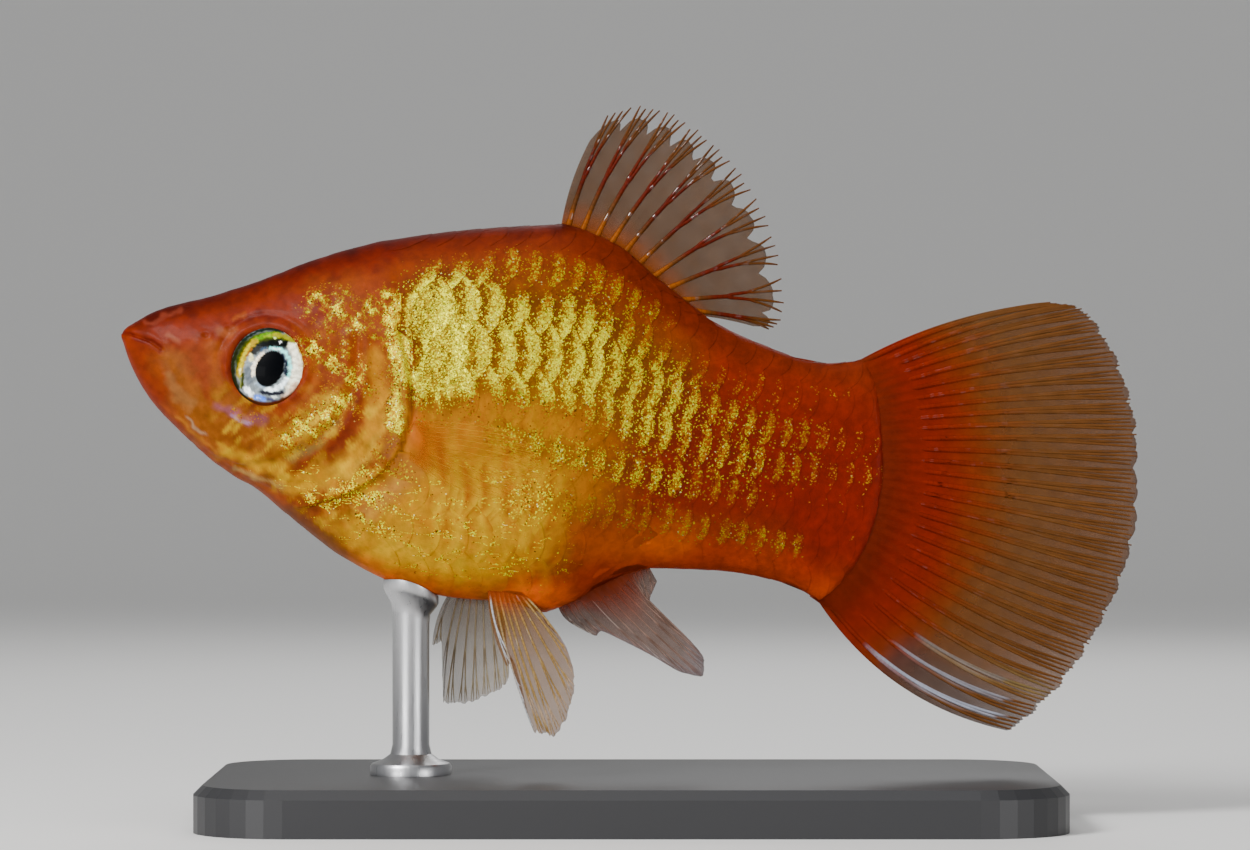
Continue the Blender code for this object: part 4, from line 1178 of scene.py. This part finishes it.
def eyeMaterial():
    look, tree, shader = newMaterial(
        "eyeIris", Coat_Weight=0.02, Coat_Roughness=0.05, Roughness=0.4,
        Specular_IOR_Level=0.04, Emission_Strength=1.0,
    )
    tint = attribute(tree, "tint")
    blue = add(tree, "ShaderNodeSeparateColor", {0: tint["Color"]}).outputs[2]
    # only the silver glows: painted light, the iris giving off light of its own
    glow = product(tree, calculate(tree, "POWER", blue, 2.0), tint["Alpha"], 2.0)
    fibre = noise(tree, objectPlace(tree), 9000.0)
    relief = bumped(tree, product(tree, fibre, tint["Alpha"]), 0.3, 0.00004)
    lit = scaled(tree, tint["Color"], glow)
    feed(tree, shader, Base_Color=tint["Color"], Emission_Color=lit, Normal=relief)
    return look


irisLook = eyeMaterial()
for name, side in (("left", -1), ("right", 1)):
    ball = eyeball("eyeball_" + name, side, irisLook)
    declare(ball, "eye_silver", "eye_" + name)
print("eyes done")


fins = {
    "membrane": 0.07,  # thickness of the web
    "raySides": 7,
    "rayPoints": 26,
    "split": (0.05, 0.2),  # how far a fork opens at once and by the tip, in ray spacings
    "thinner": (0.2, 0.14),  # what each fork takes off a ray's thickness
    "taper": 0.3,
    "dorsalBase": (23.7, 7.6),  # where a fin's root starts along the body, and its length
    "analBase": (23.5, 4.9),
    "pelvicOut": 1.6,  # how far a pelvic root is from the middle of the body
    "pectoralBase": 16.1,
    "pectoralFlare": 16,  # degrees
}


# Geometry Nodes that sweep a round section along each ray, as thick as its radius mark.
def rayTree(look, name):
    tree = bpy.data.node_groups.new(name, "GeometryNodeTree")
    opening(tree, "Lines", "Geometry")
    opening(tree, "Sides", "Int", fins["raySides"])
    opening(tree, "Width", "Float", 1.0)
    opening(tree, "Rays", "Geometry", way="OUTPUT")
    start = tree.nodes.new("NodeGroupInput").outputs
    lines = add(tree, "GeometryNodeMeshToCurve", {0: start["Lines"]})
    width = product(tree, named(tree, "rayRadius", "FLOAT"), start["Width"])
    size = {"Resolution": start["Sides"], "Radius": 1.0}
    circle = add(tree, "GeometryNodeCurvePrimitiveCircle", size).outputs["Curve"]
    swept = add(tree, "GeometryNodeCurveToMesh", {
        "Curve": lines.outputs[0], "Profile Curve": circle, "Scale": width, "Fill Caps": True,
    })
    putOut(tree, swept.outputs[0], look)
    return tree


# How much thicker than elsewhere a web is at its root.
def rootSwell(u, v, s, h):
    return 0.06 * smooth((0.14 - u) / 0.2)


# One fin: where its rays start and end, how they bow, and its place across the body. The web
# is notched between rays, and the rays overhang it.
class Fin:
    def __init__(
        self, name, root, tip, bow, side, rays, notch, seed, overhang=0.0, swell=rootSwell,
    ):
        self.name, self.root, self.tip, self.bow, self.side = name, root, tip, bow, side
        self.rays, self.notch, self.overhang, self.swell = rays, notch, overhang, swell
        self.draw = np.random.default_rng(seed)

    # The middle of the web at a share u along the rays and v across them.
    def spot(self, u, v):
        start, end = self.root(v), self.tip(v)
        span = end - start
        place = start + span * u[..., None]
        perpendicular = np.stack([-span[..., 1], span[..., 0]], -1)
        perpendicular /= np.linalg.norm(perpendicular, axis=-1, keepdims=True)
        curveOut = self.bow(v) * 4 * np.clip(u, 0, 1) * (1 - u)
        place = place + perpendicular * curveOut[..., None]
        return place[..., 0], self.side(u, v, place[..., 0], place[..., 1]), place[..., 1]

    # How far out the web goes at v: scalloped from ray to ray, finer among their branches.
    def reach(self, v):
        ray, branch = (v * self.rays) % 1, (v * self.rays * 4) % 1
        valley = np.abs(2 * ray - 1) ** 3
        fine = 0.01 * (1 - np.sin(math.pi * branch)) + 0.006 * (1 + np.sin(v * 91))
        return 1 - self.overhang - self.notch * valley - fine

    def web(self, look, colours, start=-0.05, rows=40, perRay=8):
        columns = self.rays * perRay
        u0, v = np.meshgrid(np.linspace(0, 1, rows), np.linspace(0, 1, columns), indexing="ij")
        u = start + (self.reach(v) - start) * u0
        s, y, h = self.spot(u, v)
        ray = 0.5 - 0.5 * np.cos(2 * math.pi * v * self.rays)
        half = fins["membrane"] / 2 * (1 + 0.5 * ray) * (1 - 0.6 * np.clip(u, 0, 1) ** 2)
        half = half + self.swell(u, v, s, h) * (1 - 0.16 * (1 - ray) * smooth((u - 0.01) / 0.16))
        points = [placed(s, y + half * face, h).reshape(-1, 3) for face in (1, -1)]
        count = rows * columns
        rim = rimOf(rows, columns)
        faces = gridFaces(rows, columns) + gridFaces(rows, columns, offset=count, flip=True)
        faces += rimFaces(rim, [k + count for k in rim])
        shape = meshObject(self.name + "_web", np.concatenate(points), faces)
        faceOutwards(shape)
        colour, cover = colours(*(np.tile(value.ravel(), 2) for value in (u, v, s, h)))
        store(shape, "tint", np.concatenate([colour, cover[:, None]], -1))
        place = 0.49 * np.stack([u0.ravel(), v.ravel()], -1)
        storeMap(shape, "Unwrap", np.concatenate([place, 0.5 + place]))
        wear(shape, look)
        return shape

    # Each branch of each ray: u and v along it, and where its ray forks.
    def branches(self, forks):
        result = []
        for k in range(self.rays):
            marks = forks + self.draw.uniform(-0.03, 0.03, 2)
            leaves = [(-1, 0), (1, 0)] if marks[1] > 1 else [(-1, -1), (-1, 1), (1, -1), (1, 1)]
            for first, second in leaves:
                # a branch begins at the fork where it leaves another
                begin = marks[1] if second > 0 else marks[0] if first > 0 else 0
                end = 1 + self.draw.uniform(-0.035, -0.005)
                u = np.linspace(begin - 0.04, end, fins["rayPoints"])
                v = np.full(len(u), (k + 0.5) / self.rays)
                for turn, mark in ((first, marks[0]), (second / 2, marks[1])):
                    opened = fins["split"][0] * smooth((u - mark) / 0.06)
                    opened += fins["split"][1] * np.clip((u - mark) / (1 - mark), 0, 1) ** 1.4
                    v += turn / self.rays * opened
                result.append((u, v, marks))
        return result

    # All rays as lines, then swept into fine tapering rods.
    def rayLines(self, forks, thick, colours, tree):
        points, edges, radii, tints, lengths = [], [], [], [], []
        for u, v, marks in self.branches(forks):
            s, y, h = self.spot(u, np.clip(v, 0.0, 1.0))
            here = placed(s, y, h)
            step = np.linalg.norm(np.diff(here, axis=0), axis=1) / millimetre
            travelled = np.concatenate([[0], np.cumsum(step)])
            # rays are thicker at the root, thinner after each fork and pointed at the tip
            radius = thick * (1 - fins["taper"] * np.clip(u, 0, 1))
            lost = [less * smooth((u - mark) / 0.1) for less, mark in zip(fins["thinner"], marks)]
            radius *= (1 - sum(lost)) * (1 - 0.5 * smooth((u - 0.88) / 0.12))
            radius *= 1 + 0.4 * smooth((0.12 - u) / 0.14)
            colour, cover = colours(u, v, s, h)
            colour = np.clip(colour * self.draw.uniform(0.86, 1.12), 0, 1)
            edges += [(len(points) + i, len(points) + i + 1) for i in range(len(u) - 1)]
            points += list(here)
            radii += list(radius * millimetre)
            tints.append(np.concatenate([colour, cover[:, None]], -1))
            lengths.append(np.stack([travelled, v, u], -1))
        lines = meshObject(self.name + "_lines", points, [], edges)
        store(lines, "rayRadius", radii)
        store(lines, "tint", np.concatenate(tints))
        store(lines, "bars", np.concatenate(lengths))
        made = applied(lines, tree, self.name + "_rays")
        if "rayRadius" in made.data.attributes:
            made.data.attributes.remove(made.data.attributes["rayRadius"])
        return made


# A thin web: colour and cover from the marks, with fine ripples.
def webMaterial():
    look, tree, shader = newMaterial("finWeb", Roughness=0.5, Specular_IOR_Level=0.05)
    tint = attribute(tree, "tint")
    shade = stretch(tree, noise(tree, objectPlace(tree), 3500.0, 3.0), 0.25, 0.75, (0.92, 1.08))
    feed(tree, shader, Base_Color=scaled(tree, tint["Color"], shade), Alpha=tint["Alpha"])
    return look


# A jointed ray, with broken glints along it.
def rayMaterial(name, **constants):
    look, tree, shader = newMaterial(
        name, Roughness=0.45, Specular_IOR_Level=0.06, Coat_Roughness=0.06, Coat_IOR=1.8, **constants,
    )
    tint, along = attribute(tree, "tint"), attribute(tree, "bars")["Vector"]
    joint = calculate(tree, "FRACT", product(tree, split(tree, along)[0], 3.6))
    joined = product(tree, stretch(tree, offMiddle(tree, joint), 0.34, 0.5, (0.0, 0.45)), tint["Alpha"])
    dark = calculate(tree, "SUBTRACT", 1.0, joined)
    broken = noise(tree, vectors(tree, "MULTIPLY", along, (1.5, 60.0, 0.0)), 1.0)
    feed(
        tree, shader, Base_Color=scaled(tree, tint["Color"], dark),
        Coat_Weight=product(tree, stretch(tree, broken, 0.57, 0.65), tint["Alpha"]),
        Normal=bumped(tree, dark, 0.3, 0.00003),
    )
    return look


# Colours of a fin from strokes laid in its own u and v, and its cover by u.
def finColours(ground, strokes, cover, ripple=0.03):
    along = curve(cover)

    def colours(u, v, s, h):
        shifted = u + 0.02 * wander(u, v, 0.1), v + 0.004 * wander(u, v, 0.2, 2)
        colour = painted(*shifted, ground, strokes)
        colour *= (1 + 0.12 * wander(s, h, 0.5, 1))[..., None]
        return np.clip(colour, 0, 1), np.clip(along(u) * (1 + ripple * wander(s, h, 0.7, 2)), 0, 1)

    return colours


webLook = webMaterial()
rayRods = rayTree(rayMaterial("finRay"), "finRays")
clearRods = rayTree(rayMaterial("clearRay", Alpha=0.45), "clearRays")

dorsalAngle = curve([(0, 67), (0.33, 50), (0.56, 35.6), (0.78, 10.8), (0.9, -12), (1, -20)])
dorsalLength = curve([
    (0, 6), (0.12, 7.3), (0.24, 7.6), (0.45, 7.35), (0.6, 7.0), (0.78, 6.05), (0.9, 5.3), (1, 3.85),
])


def dorsalRoot(v):
    start, length = fins["dorsalBase"]
    s = start + length * v
    return np.stack([s, topAt(s) - 0.15], -1)


def dorsalTip(v):
    turn = np.radians(dorsalAngle(v))
    start = dorsalRoot(v) + np.array([0, 0.5])
    return start + dorsalLength(v)[..., None] * np.stack([np.cos(turn), np.sin(turn)], -1)


caudalRootS = curve([
    (0, 40.2), (0.125, 40.7), (0.25, 40.9), (0.5, 41.1), (0.625, 40.9), (0.75, 40.5), (0.875, 39.7),
    (1, 37.95),
])
caudalRootH = curve([(0, 2.2), (0.25, -0.55), (0.5, -3.8), (0.75, -7), (0.875, -8.75), (1, -10.95)])
caudalTip = path([
    (0, 50.1, 5.3), (0.06, 51.6, 5.1), (0.125, 52.8, 4.05), (0.25, 54.4, 0.8), (0.375, 54.95, -2.2),
    (0.5, 54.95, -5.7), (0.625, 54.2, -9.2), (0.75, 52.7, -12.4), (0.875, 50.7, -15.4),
    (0.95, 49.2, -16.9), (1, 48.1, -17.9),
])


def caudalRoot(v):
    return np.stack([caudalRootS(v) - 0.3, caudalRootH(v)], -1)


# The fin's root carries on the body's own thickness and thins out along the rays.
def caudalSwell(u, v, s, h):
    half = np.minimum(sideAt(caudalRootS(v), caudalRootH(v)), sideAt(s, h)) - 0.13
    return np.maximum(half, 0) * (1 - smooth((u + 0.04) / 0.27))


def analRoot(v):
    start, length = fins["analBase"]
    s = start + length * v
    return np.stack([s, bottomAt(s) + 0.25], -1)


analTip = path([
    (0, 24.5, -12.2), (0.1, 25.6, -12.75), (0.2, 25.9, -12.5), (0.3, 28.5, -13.75), (0.42, 30.4, -14.8),
    (0.5, 31.4, -15), (0.58, 31.5, -14.2), (0.7, 30.7, -13), (0.8, 28.8, -11.7), (0.9, 28.5, -10.9),
    (1, 28.9, -9.8),
])


def pelvicFin(name, side, front, back, tips, spread, seed):
    yRoot = fins["pelvicOut"] * side

    def root(v):
        s = front + (back - front) * v
        return np.stack([s, undersideAt(s, yRoot) + 0.05], -1)

    def across(u, v, s, h):
        below = undersideAt(np.array(float(front)), yRoot) - h
        return yRoot + side * (spread * below / 6.5 + 0.02 * below * np.sin(1.3 * s))

    return Fin(name, root, path(tips), curve([(0, -0.25), (1, 0.1)]), across, 9, 0.02, seed)


def pectoralFin(name, side, seed):
    tip = path([
        (0, 21.4, -1.7), (0.3, 22.7, -2.9), (0.5, 22.9, -3.8), (0.75, 21.8, -5), (1, 19.4, -5.3),
    ])
    base = fins["pectoralBase"]
    flare = math.tan(math.radians(fins["pectoralFlare"]))

    def root(v):
        return np.stack([base - 0.25 * (2 * v - 1) ** 2, -1.2 - 2.1 * v], -1)

    def across(u, v, s, h):
        out = np.maximum(sideAt(base, h), sideAt(base + 2, h)) + 0.3
        out += flare * (s - base) + 0.2 * u * np.sin(4 * v)
        rooted = sideAt(base, h) - 0.1
        return side * (rooted + (out - rooted) * smooth((u + 0.02) / 0.2))

    return Fin(name, root, tip, curve([(0, 0.3), (1, -0.2)]), across, 11, 0.01, seed)


dorsal = Fin(
    "dorsal_fin", dorsalRoot, dorsalTip, curve([(0, 0.35), (1, 0.1)]),
    lambda u, v, s, h: 0.3 * u * np.sin(7 * v), 10, 0.12, 3, 0.1,
)
caudal = Fin(
    "caudal_fin", caudalRoot, caudalTip, curve([(0, 0.55), (0.4, 0.1), (0.75, -0.3), (1, -1.3)]),
    lambda u, v, s, h: 0.6 * u * u * np.sin(5 * v + 0.5), 28, 0.012, 4, 0.0, caudalSwell,
)
anal = Fin(
    "anal_fin", analRoot, analTip, curve([(0, -0.2), (1, 0)]),
    lambda u, v, s, h: 0.12 * np.sin(0.9 * (s - fins["analBase"][0])), 15, 0.01, 5,
)
pelvicLeft = pelvicFin("pelvic_fin_left", -1, 19.8, 21.9, [
    (0, 20.9, -14.4), (0.08, 21.2, -14), (0.2, 22.4, -17.9), (0.33, 23, -17.9), (0.45, 23.3, -18.1),
    (0.57, 23.9, -17.4), (0.68, 24.3, -16.3), (0.78, 24.5, -15.1), (0.88, 24, -13.2), (1, 22.9, -12),
], 1.4, 6)
pelvicRight = pelvicFin("pelvic_fin_right", 1, 17.8, 20.5, [
    (0, 16.65, -13.45), (0.09, 17.15, -13.15), (0.2, 17.25, -16.6), (0.4, 18.4, -16.6),
    (0.6, 19.55, -16.2), (0.8, 20.6, -15.6), (0.9, 20.85, -14.9), (1, 20.2, -12.4),
], 1.6, 7)
pectoralLeft = pectoralFin("pectoral_fin_left", -1, 8)
pectoralRight = pectoralFin("pectoral_fin_right", 1, 8)

# A fin, its slot, where its rays fork, their thickness, and the colours of web and rays,
# whose strokes run in u from root to edge and in v from the first ray to the last.
atRoot = [(0, 0), (0, 1)]
finSet = [
    (dorsal, "dorsal_amber", (0.42, 0.66), 0.14, finColours(
        (106, 66, 20), [((160, 74, 0), 0.9, 0.26, 0.26, atRoot)],
        [(0, 0.95), (0.1, 0.72), (0.3, 0.64), (1, 0.56)], 0.06,
    ), finColours(
        (112, 64, 22), [
            ((112, 26, 0), 1.0, 0.28, 0.16, [(0.5, 0.1), (0.46, 0.9)]),
            ((180, 92, 0), 0.9, 0.2, 0.12, atRoot),
        ], [(0, 0.4), (0.25, 1.0), (0.7, 0.95), (0.8, 0.5), (1, 0.2)],
    )),
    (caudal, "caudal_red", (0.28, 0.52), 0.16, finColours(
        (126, 76, 28), [
            ((146, 54, 0), 1.0, 0.6, 0.4, atRoot),
            ((148, 32, 0), 1.0, 0.46, 0.28, [(0, 0), (0.04, 0.8)]),
            ((132, 38, 0), 0.9, 0.16, 0.15, atRoot),
            ((80, 70, 70), 0.6, 0.08, 0.07, [(0.4, 0.96), (1, 0.98)]),
        ], [(0, 1.0), (0.3, 1.0), (0.5, 0.86), (0.75, 0.74), (1, 0.58)],
    ), finColours(
        (126, 78, 36), [
            ((150, 52, 0), 1.0, 0.66, 0.4, [(0, 0), (0, 0.85)]),
            ((150, 34, 0), 1.0, 0.48, 0.3, [(0, 0.1), (0.04, 0.8)]),
            ((118, 36, 0), 1.0, 0.13, 0.1, atRoot),
            ((160, 140, 90), 0.7, 0.03, 0.03, [(0.45, 0.9), (0.95, 0.9)]),
            ((150, 140, 140), 0.7, 0.012, 0.012, [(0.4, 0.905), (0.8, 0.905)]),
            ((166, 166, 176), 0.9, 0.011, 0.01, [(0.36, 0.94), (0.85, 0.94)]),
            ((200, 206, 224), 0.95, 0.012, 0.01, [(0.28, 0.976), (0.9, 0.976)]),
        ], [(0, 0.1), (0.3, 0.4), (0.6, 0.3), (1, 0.1)],
    )),
    (anal, "anal_lilac", (0.5, 0.76), 0.06, finColours(
        (136, 104, 90), [
            ((156, 52, 4), 0.95, 0.5, 0.44, [(0, 0.1), (0, 1)]),
            ((130, 108, 118), 0.6, 0.3, 0.3, [(1, 0.3), (1, 0.7)]),
        ], [(0, 0.95), (0.3, 0.72), (1, 0.62)],
    ), finColours(
        (186, 154, 140), [
            ((170, 62, 8), 0.95, 0.46, 0.42, [(0, 0.2), (0, 1)]),
            ((240, 232, 222), 0.9, 0.1, 0.08, [(0.5, 0.04), (1, 0.06)]),
            ((240, 228, 222), 0.9, 0.05, 0.04, [(0.2, 0.3), (0.9, 0.36)]),
        ], [(0, 0.3), (1, 0.4)],
    )),
    (pelvicLeft, "pelvic_amber", (0.5, 0.78), 0.075, finColours(
        (150, 94, 24), [
            ((190, 74, 6), 0.9, 0.2, 0.18, atRoot),
            ((150, 130, 170), 0.7, 0.08, 0.07, [(0.6, 0.98), (1, 0.9)]),
        ], [(0, 0.9), (0.18, 0.62), (0.4, 0.5), (1, 0.45)],
    ), finColours(
        (196, 160, 96), [
            ((190, 80, 10), 0.9, 0.22, 0.2, atRoot),
            ((236, 244, 255), 1.0, 0.13, 0.08, [(0.2, 0.04), (1, 0.12)]),
            ((226, 200, 180), 0.6, 0.1, 0.08, [(0.8, 0.3), (1, 0.95)]),
        ], [(0, 0.6), (0.3, 1.0), (1, 1.0)],
    )),
    # the far pelvic fin is painted paler than the near one: partly its own paler colour, partly painted
    # light making up for the body's shadow over it
    (pelvicRight, "pelvic_amber", (0.5, 0.78), 0.06, finColours(
        (186, 156, 116), [((176, 76, 10), 0.9, 0.16, 0.14, atRoot)],
        [(0, 0.9), (0.18, 0.5), (1, 0.36)],
    ), finColours(
        (255, 232, 190), [
            ((190, 90, 20), 0.9, 0.16, 0.14, atRoot),
            ((255, 255, 255), 0.9, 0.08, 0.06, [(0.2, 0.04), (1, 0.2)]),
        ], [(0, 0.2), (1, 0.3)],
    )),
    (pectoralLeft, "pectoral_orange", (0.6, 2), 0.028, finColours(
        (240, 150, 0), [((236, 110, 0), 0.8, 0.4, 0.36, atRoot)],
        [(0, 0.26), (0.25, 0.1), (1, 0.03)],
    ), finColours(
        (255, 180, 0), [((240, 116, 0), 0.8, 0.5, 0.46, atRoot)],
        [(0, 0.0), (1, 0.0)],
    )),
]
finSet.append((pectoralRight, *finSet[-1][1:]))
for fin, slot, forks, thick, webColours, rayColours in finSet:
    web = fin.web(webLook, webColours)
    rods = clearRods if slot == "pectoral_orange" else rayRods
    rays = fin.rayLines(forks, thick, rayColours, rods)
    declare(web, slot, fin.name)
    declare(rays, slot)
print("fins done")

skin = bodySkin()
markBody(skin)
wear(skin, skinLook)
print("skin", len(skin.data.polygons), "faces")

plate = scalePlate()
tree = coatTree(skin, plate, scaleLook)
coats = [
    scaleCoat(name, side, tree, scaleLook) for name, side in (("scales_left", -1), ("scales_right", 1))
]
bpy.data.objects.remove(plate, do_unlink=True)

declare(skin, "flank_gold", "head", "lower_jaw", "gill_cover_left", "gill_cover_right", "trunk", "tail")
for made in coats:
    declare(made, "flank_gold")


stand = {
    "baseTop": 2.5,
    "rodAt": 15.6,
    "profile": [  # radius and height over the base, then distance under the belly
        (0.0, 0.0, 0), (2.2, 0.0, 0), (2.2, 0.45, 0), (2.1, 0.6, 0), (1.5, 0.82, 0), (1.12, 1.1, 0),
        (1.0, 1.6, 0), (1.0, 1.6, 1), (1.05, 1.1, 1), (1.4, 0.6, 1), (1.5, 0.4, 1), (1.5, 0.0, 1),
        (0.8, -0.1, 1), (0.0, -0.1, 1),
    ],
}


# A turned rod between the base and the belly, its pad shaped to the skin.
def standRod(look):
    around = 64
    turn = 2 * np.pi * np.arange(around) / around
    rings = []
    for radius, level, under in stand["profile"]:
        s, y = stand["rodAt"] + radius * np.cos(turn), radius * np.sin(turn)
        if under:
            h = undersideAt(s, y) + 0.02 - level
        else:
            h = np.full(around, stand["baseTop"] - axisHeight + level)
        rings.append(np.stack([s, y, h], -1))
    flat = np.array(rings).reshape(-1, 3)
    rod = meshObject("display_rod", placed(*flat.T), gridFaces(len(rings), around, wrap=True))
    faceOutwards(rod, weld=1e-7)
    rod.data.set_sharp_from_angle(angle=math.radians(35))
    wear(rod, look)
    return rod


def steelMaterial():
    look, tree, shader = newMaterial(
        "brushedSteel", Base_Color=(0.5, 0.5, 0.51), Metallic=1.0, Roughness=0.32,
    )
    squeezed = add(tree, "ShaderNodeMapping", {0: objectPlace(tree), "Scale": (900.0, 900.0, 60.0)})
    brush = noise(tree, squeezed.outputs[0], 8.0)
    feed(tree, shader, Roughness=stretch(tree, brush, 0.2, 0.8, (0.26, 0.4)))
    return look


def satinMaterial():
    look, tree, shader = newMaterial("satinBlack", Base_Color=(0.022, 0.022, 0.024), Roughness=0.42)
    feed(tree, shader, Normal=bumped(tree, noise(tree, objectPlace(tree), 5200.0), 0.15, 0.00003))
    return look


rod = standRod(steelMaterial())
declare(rod, "stand_steel", "stand_rod")
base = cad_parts["stand_base"]
wear(base, satinMaterial())
print("stand done")


studio = {
    "aim": (-0.34, 0.0, eyeHeight),
    "distance": eyeDistance,
    "lens": 150,
    "lights": [  # name, place, aim, size, power
        ("keyLight", (-170, -180, 200), (-4, 0, 22), 100, 1.1),
        ("frontLight", (-230, -320, 22), (0, 0, 18), 170, 0.7),
        ("fillLight", (240, -280, 40), (0, 0, 18), 170, 0.5),
        ("rimLight", (40, 180, 150), (0, 0, 22), 120, 0.12),
        ("topLight", (-10, -40, 260), (0, 0, 20), 160, 0.12),
    ],
    "sky": (0.9, 0.92, 0.95),
    "world": 0.3,  # strength of the light from all round
}


def area(name, place, aim, size, power):
    lamp = linked(name, bpy.data.lights.new(name, "AREA"))
    lamp.data.energy = power
    lamp.data.size = size * millimetre
    lamp.location = Vector(place) * millimetre
    lamp.rotation_euler = (Vector(aim) - Vector(place)).to_track_quat("-Z", "Y").to_euler()


for light in studio["lights"]:
    area(*light)

world = bpy.data.worlds.new("studio")
bpy.context.scene.world = world
world.use_nodes = True
sky = world.node_tree.nodes["Background"]
sky.inputs["Color"].default_value = (*studio["sky"], 1)
sky.inputs["Strength"].default_value = studio["world"]


# A floor that curves up into the backdrop far behind.
def paleSweep():
    bend = np.linspace(0, math.pi / 2, 25)
    depth = np.concatenate([[-1.5], 0.35 + 0.4 * np.sin(bend), [0.75]])
    height = np.concatenate([[0], 0.4 - 0.4 * np.cos(bend), [1.6]])
    points = [(side, y, z) for y, z in zip(depth, height) for side in (-1.6, 1.6)]
    return meshObject("floor", points, gridFaces(len(depth), 2, flip=True))


floor = paleSweep()
floorLook, _, _ = newMaterial("paleFloor", Base_Color=(0.86, 0.85, 0.83), Roughness=0.7)
wear(floor, floorLook)

camera = linked("camera", bpy.data.cameras.new("camera"))
camera.data.lens = studio["lens"]
camera.data.sensor_width = 36
camera.data.clip_start = 0.01
camera.location = (Vector(studio["aim"]) + Vector((0, -studio["distance"], 0))) * millimetre
camera.rotation_euler = (math.radians(90), 0, 0)
bpy.context.scene.camera = camera
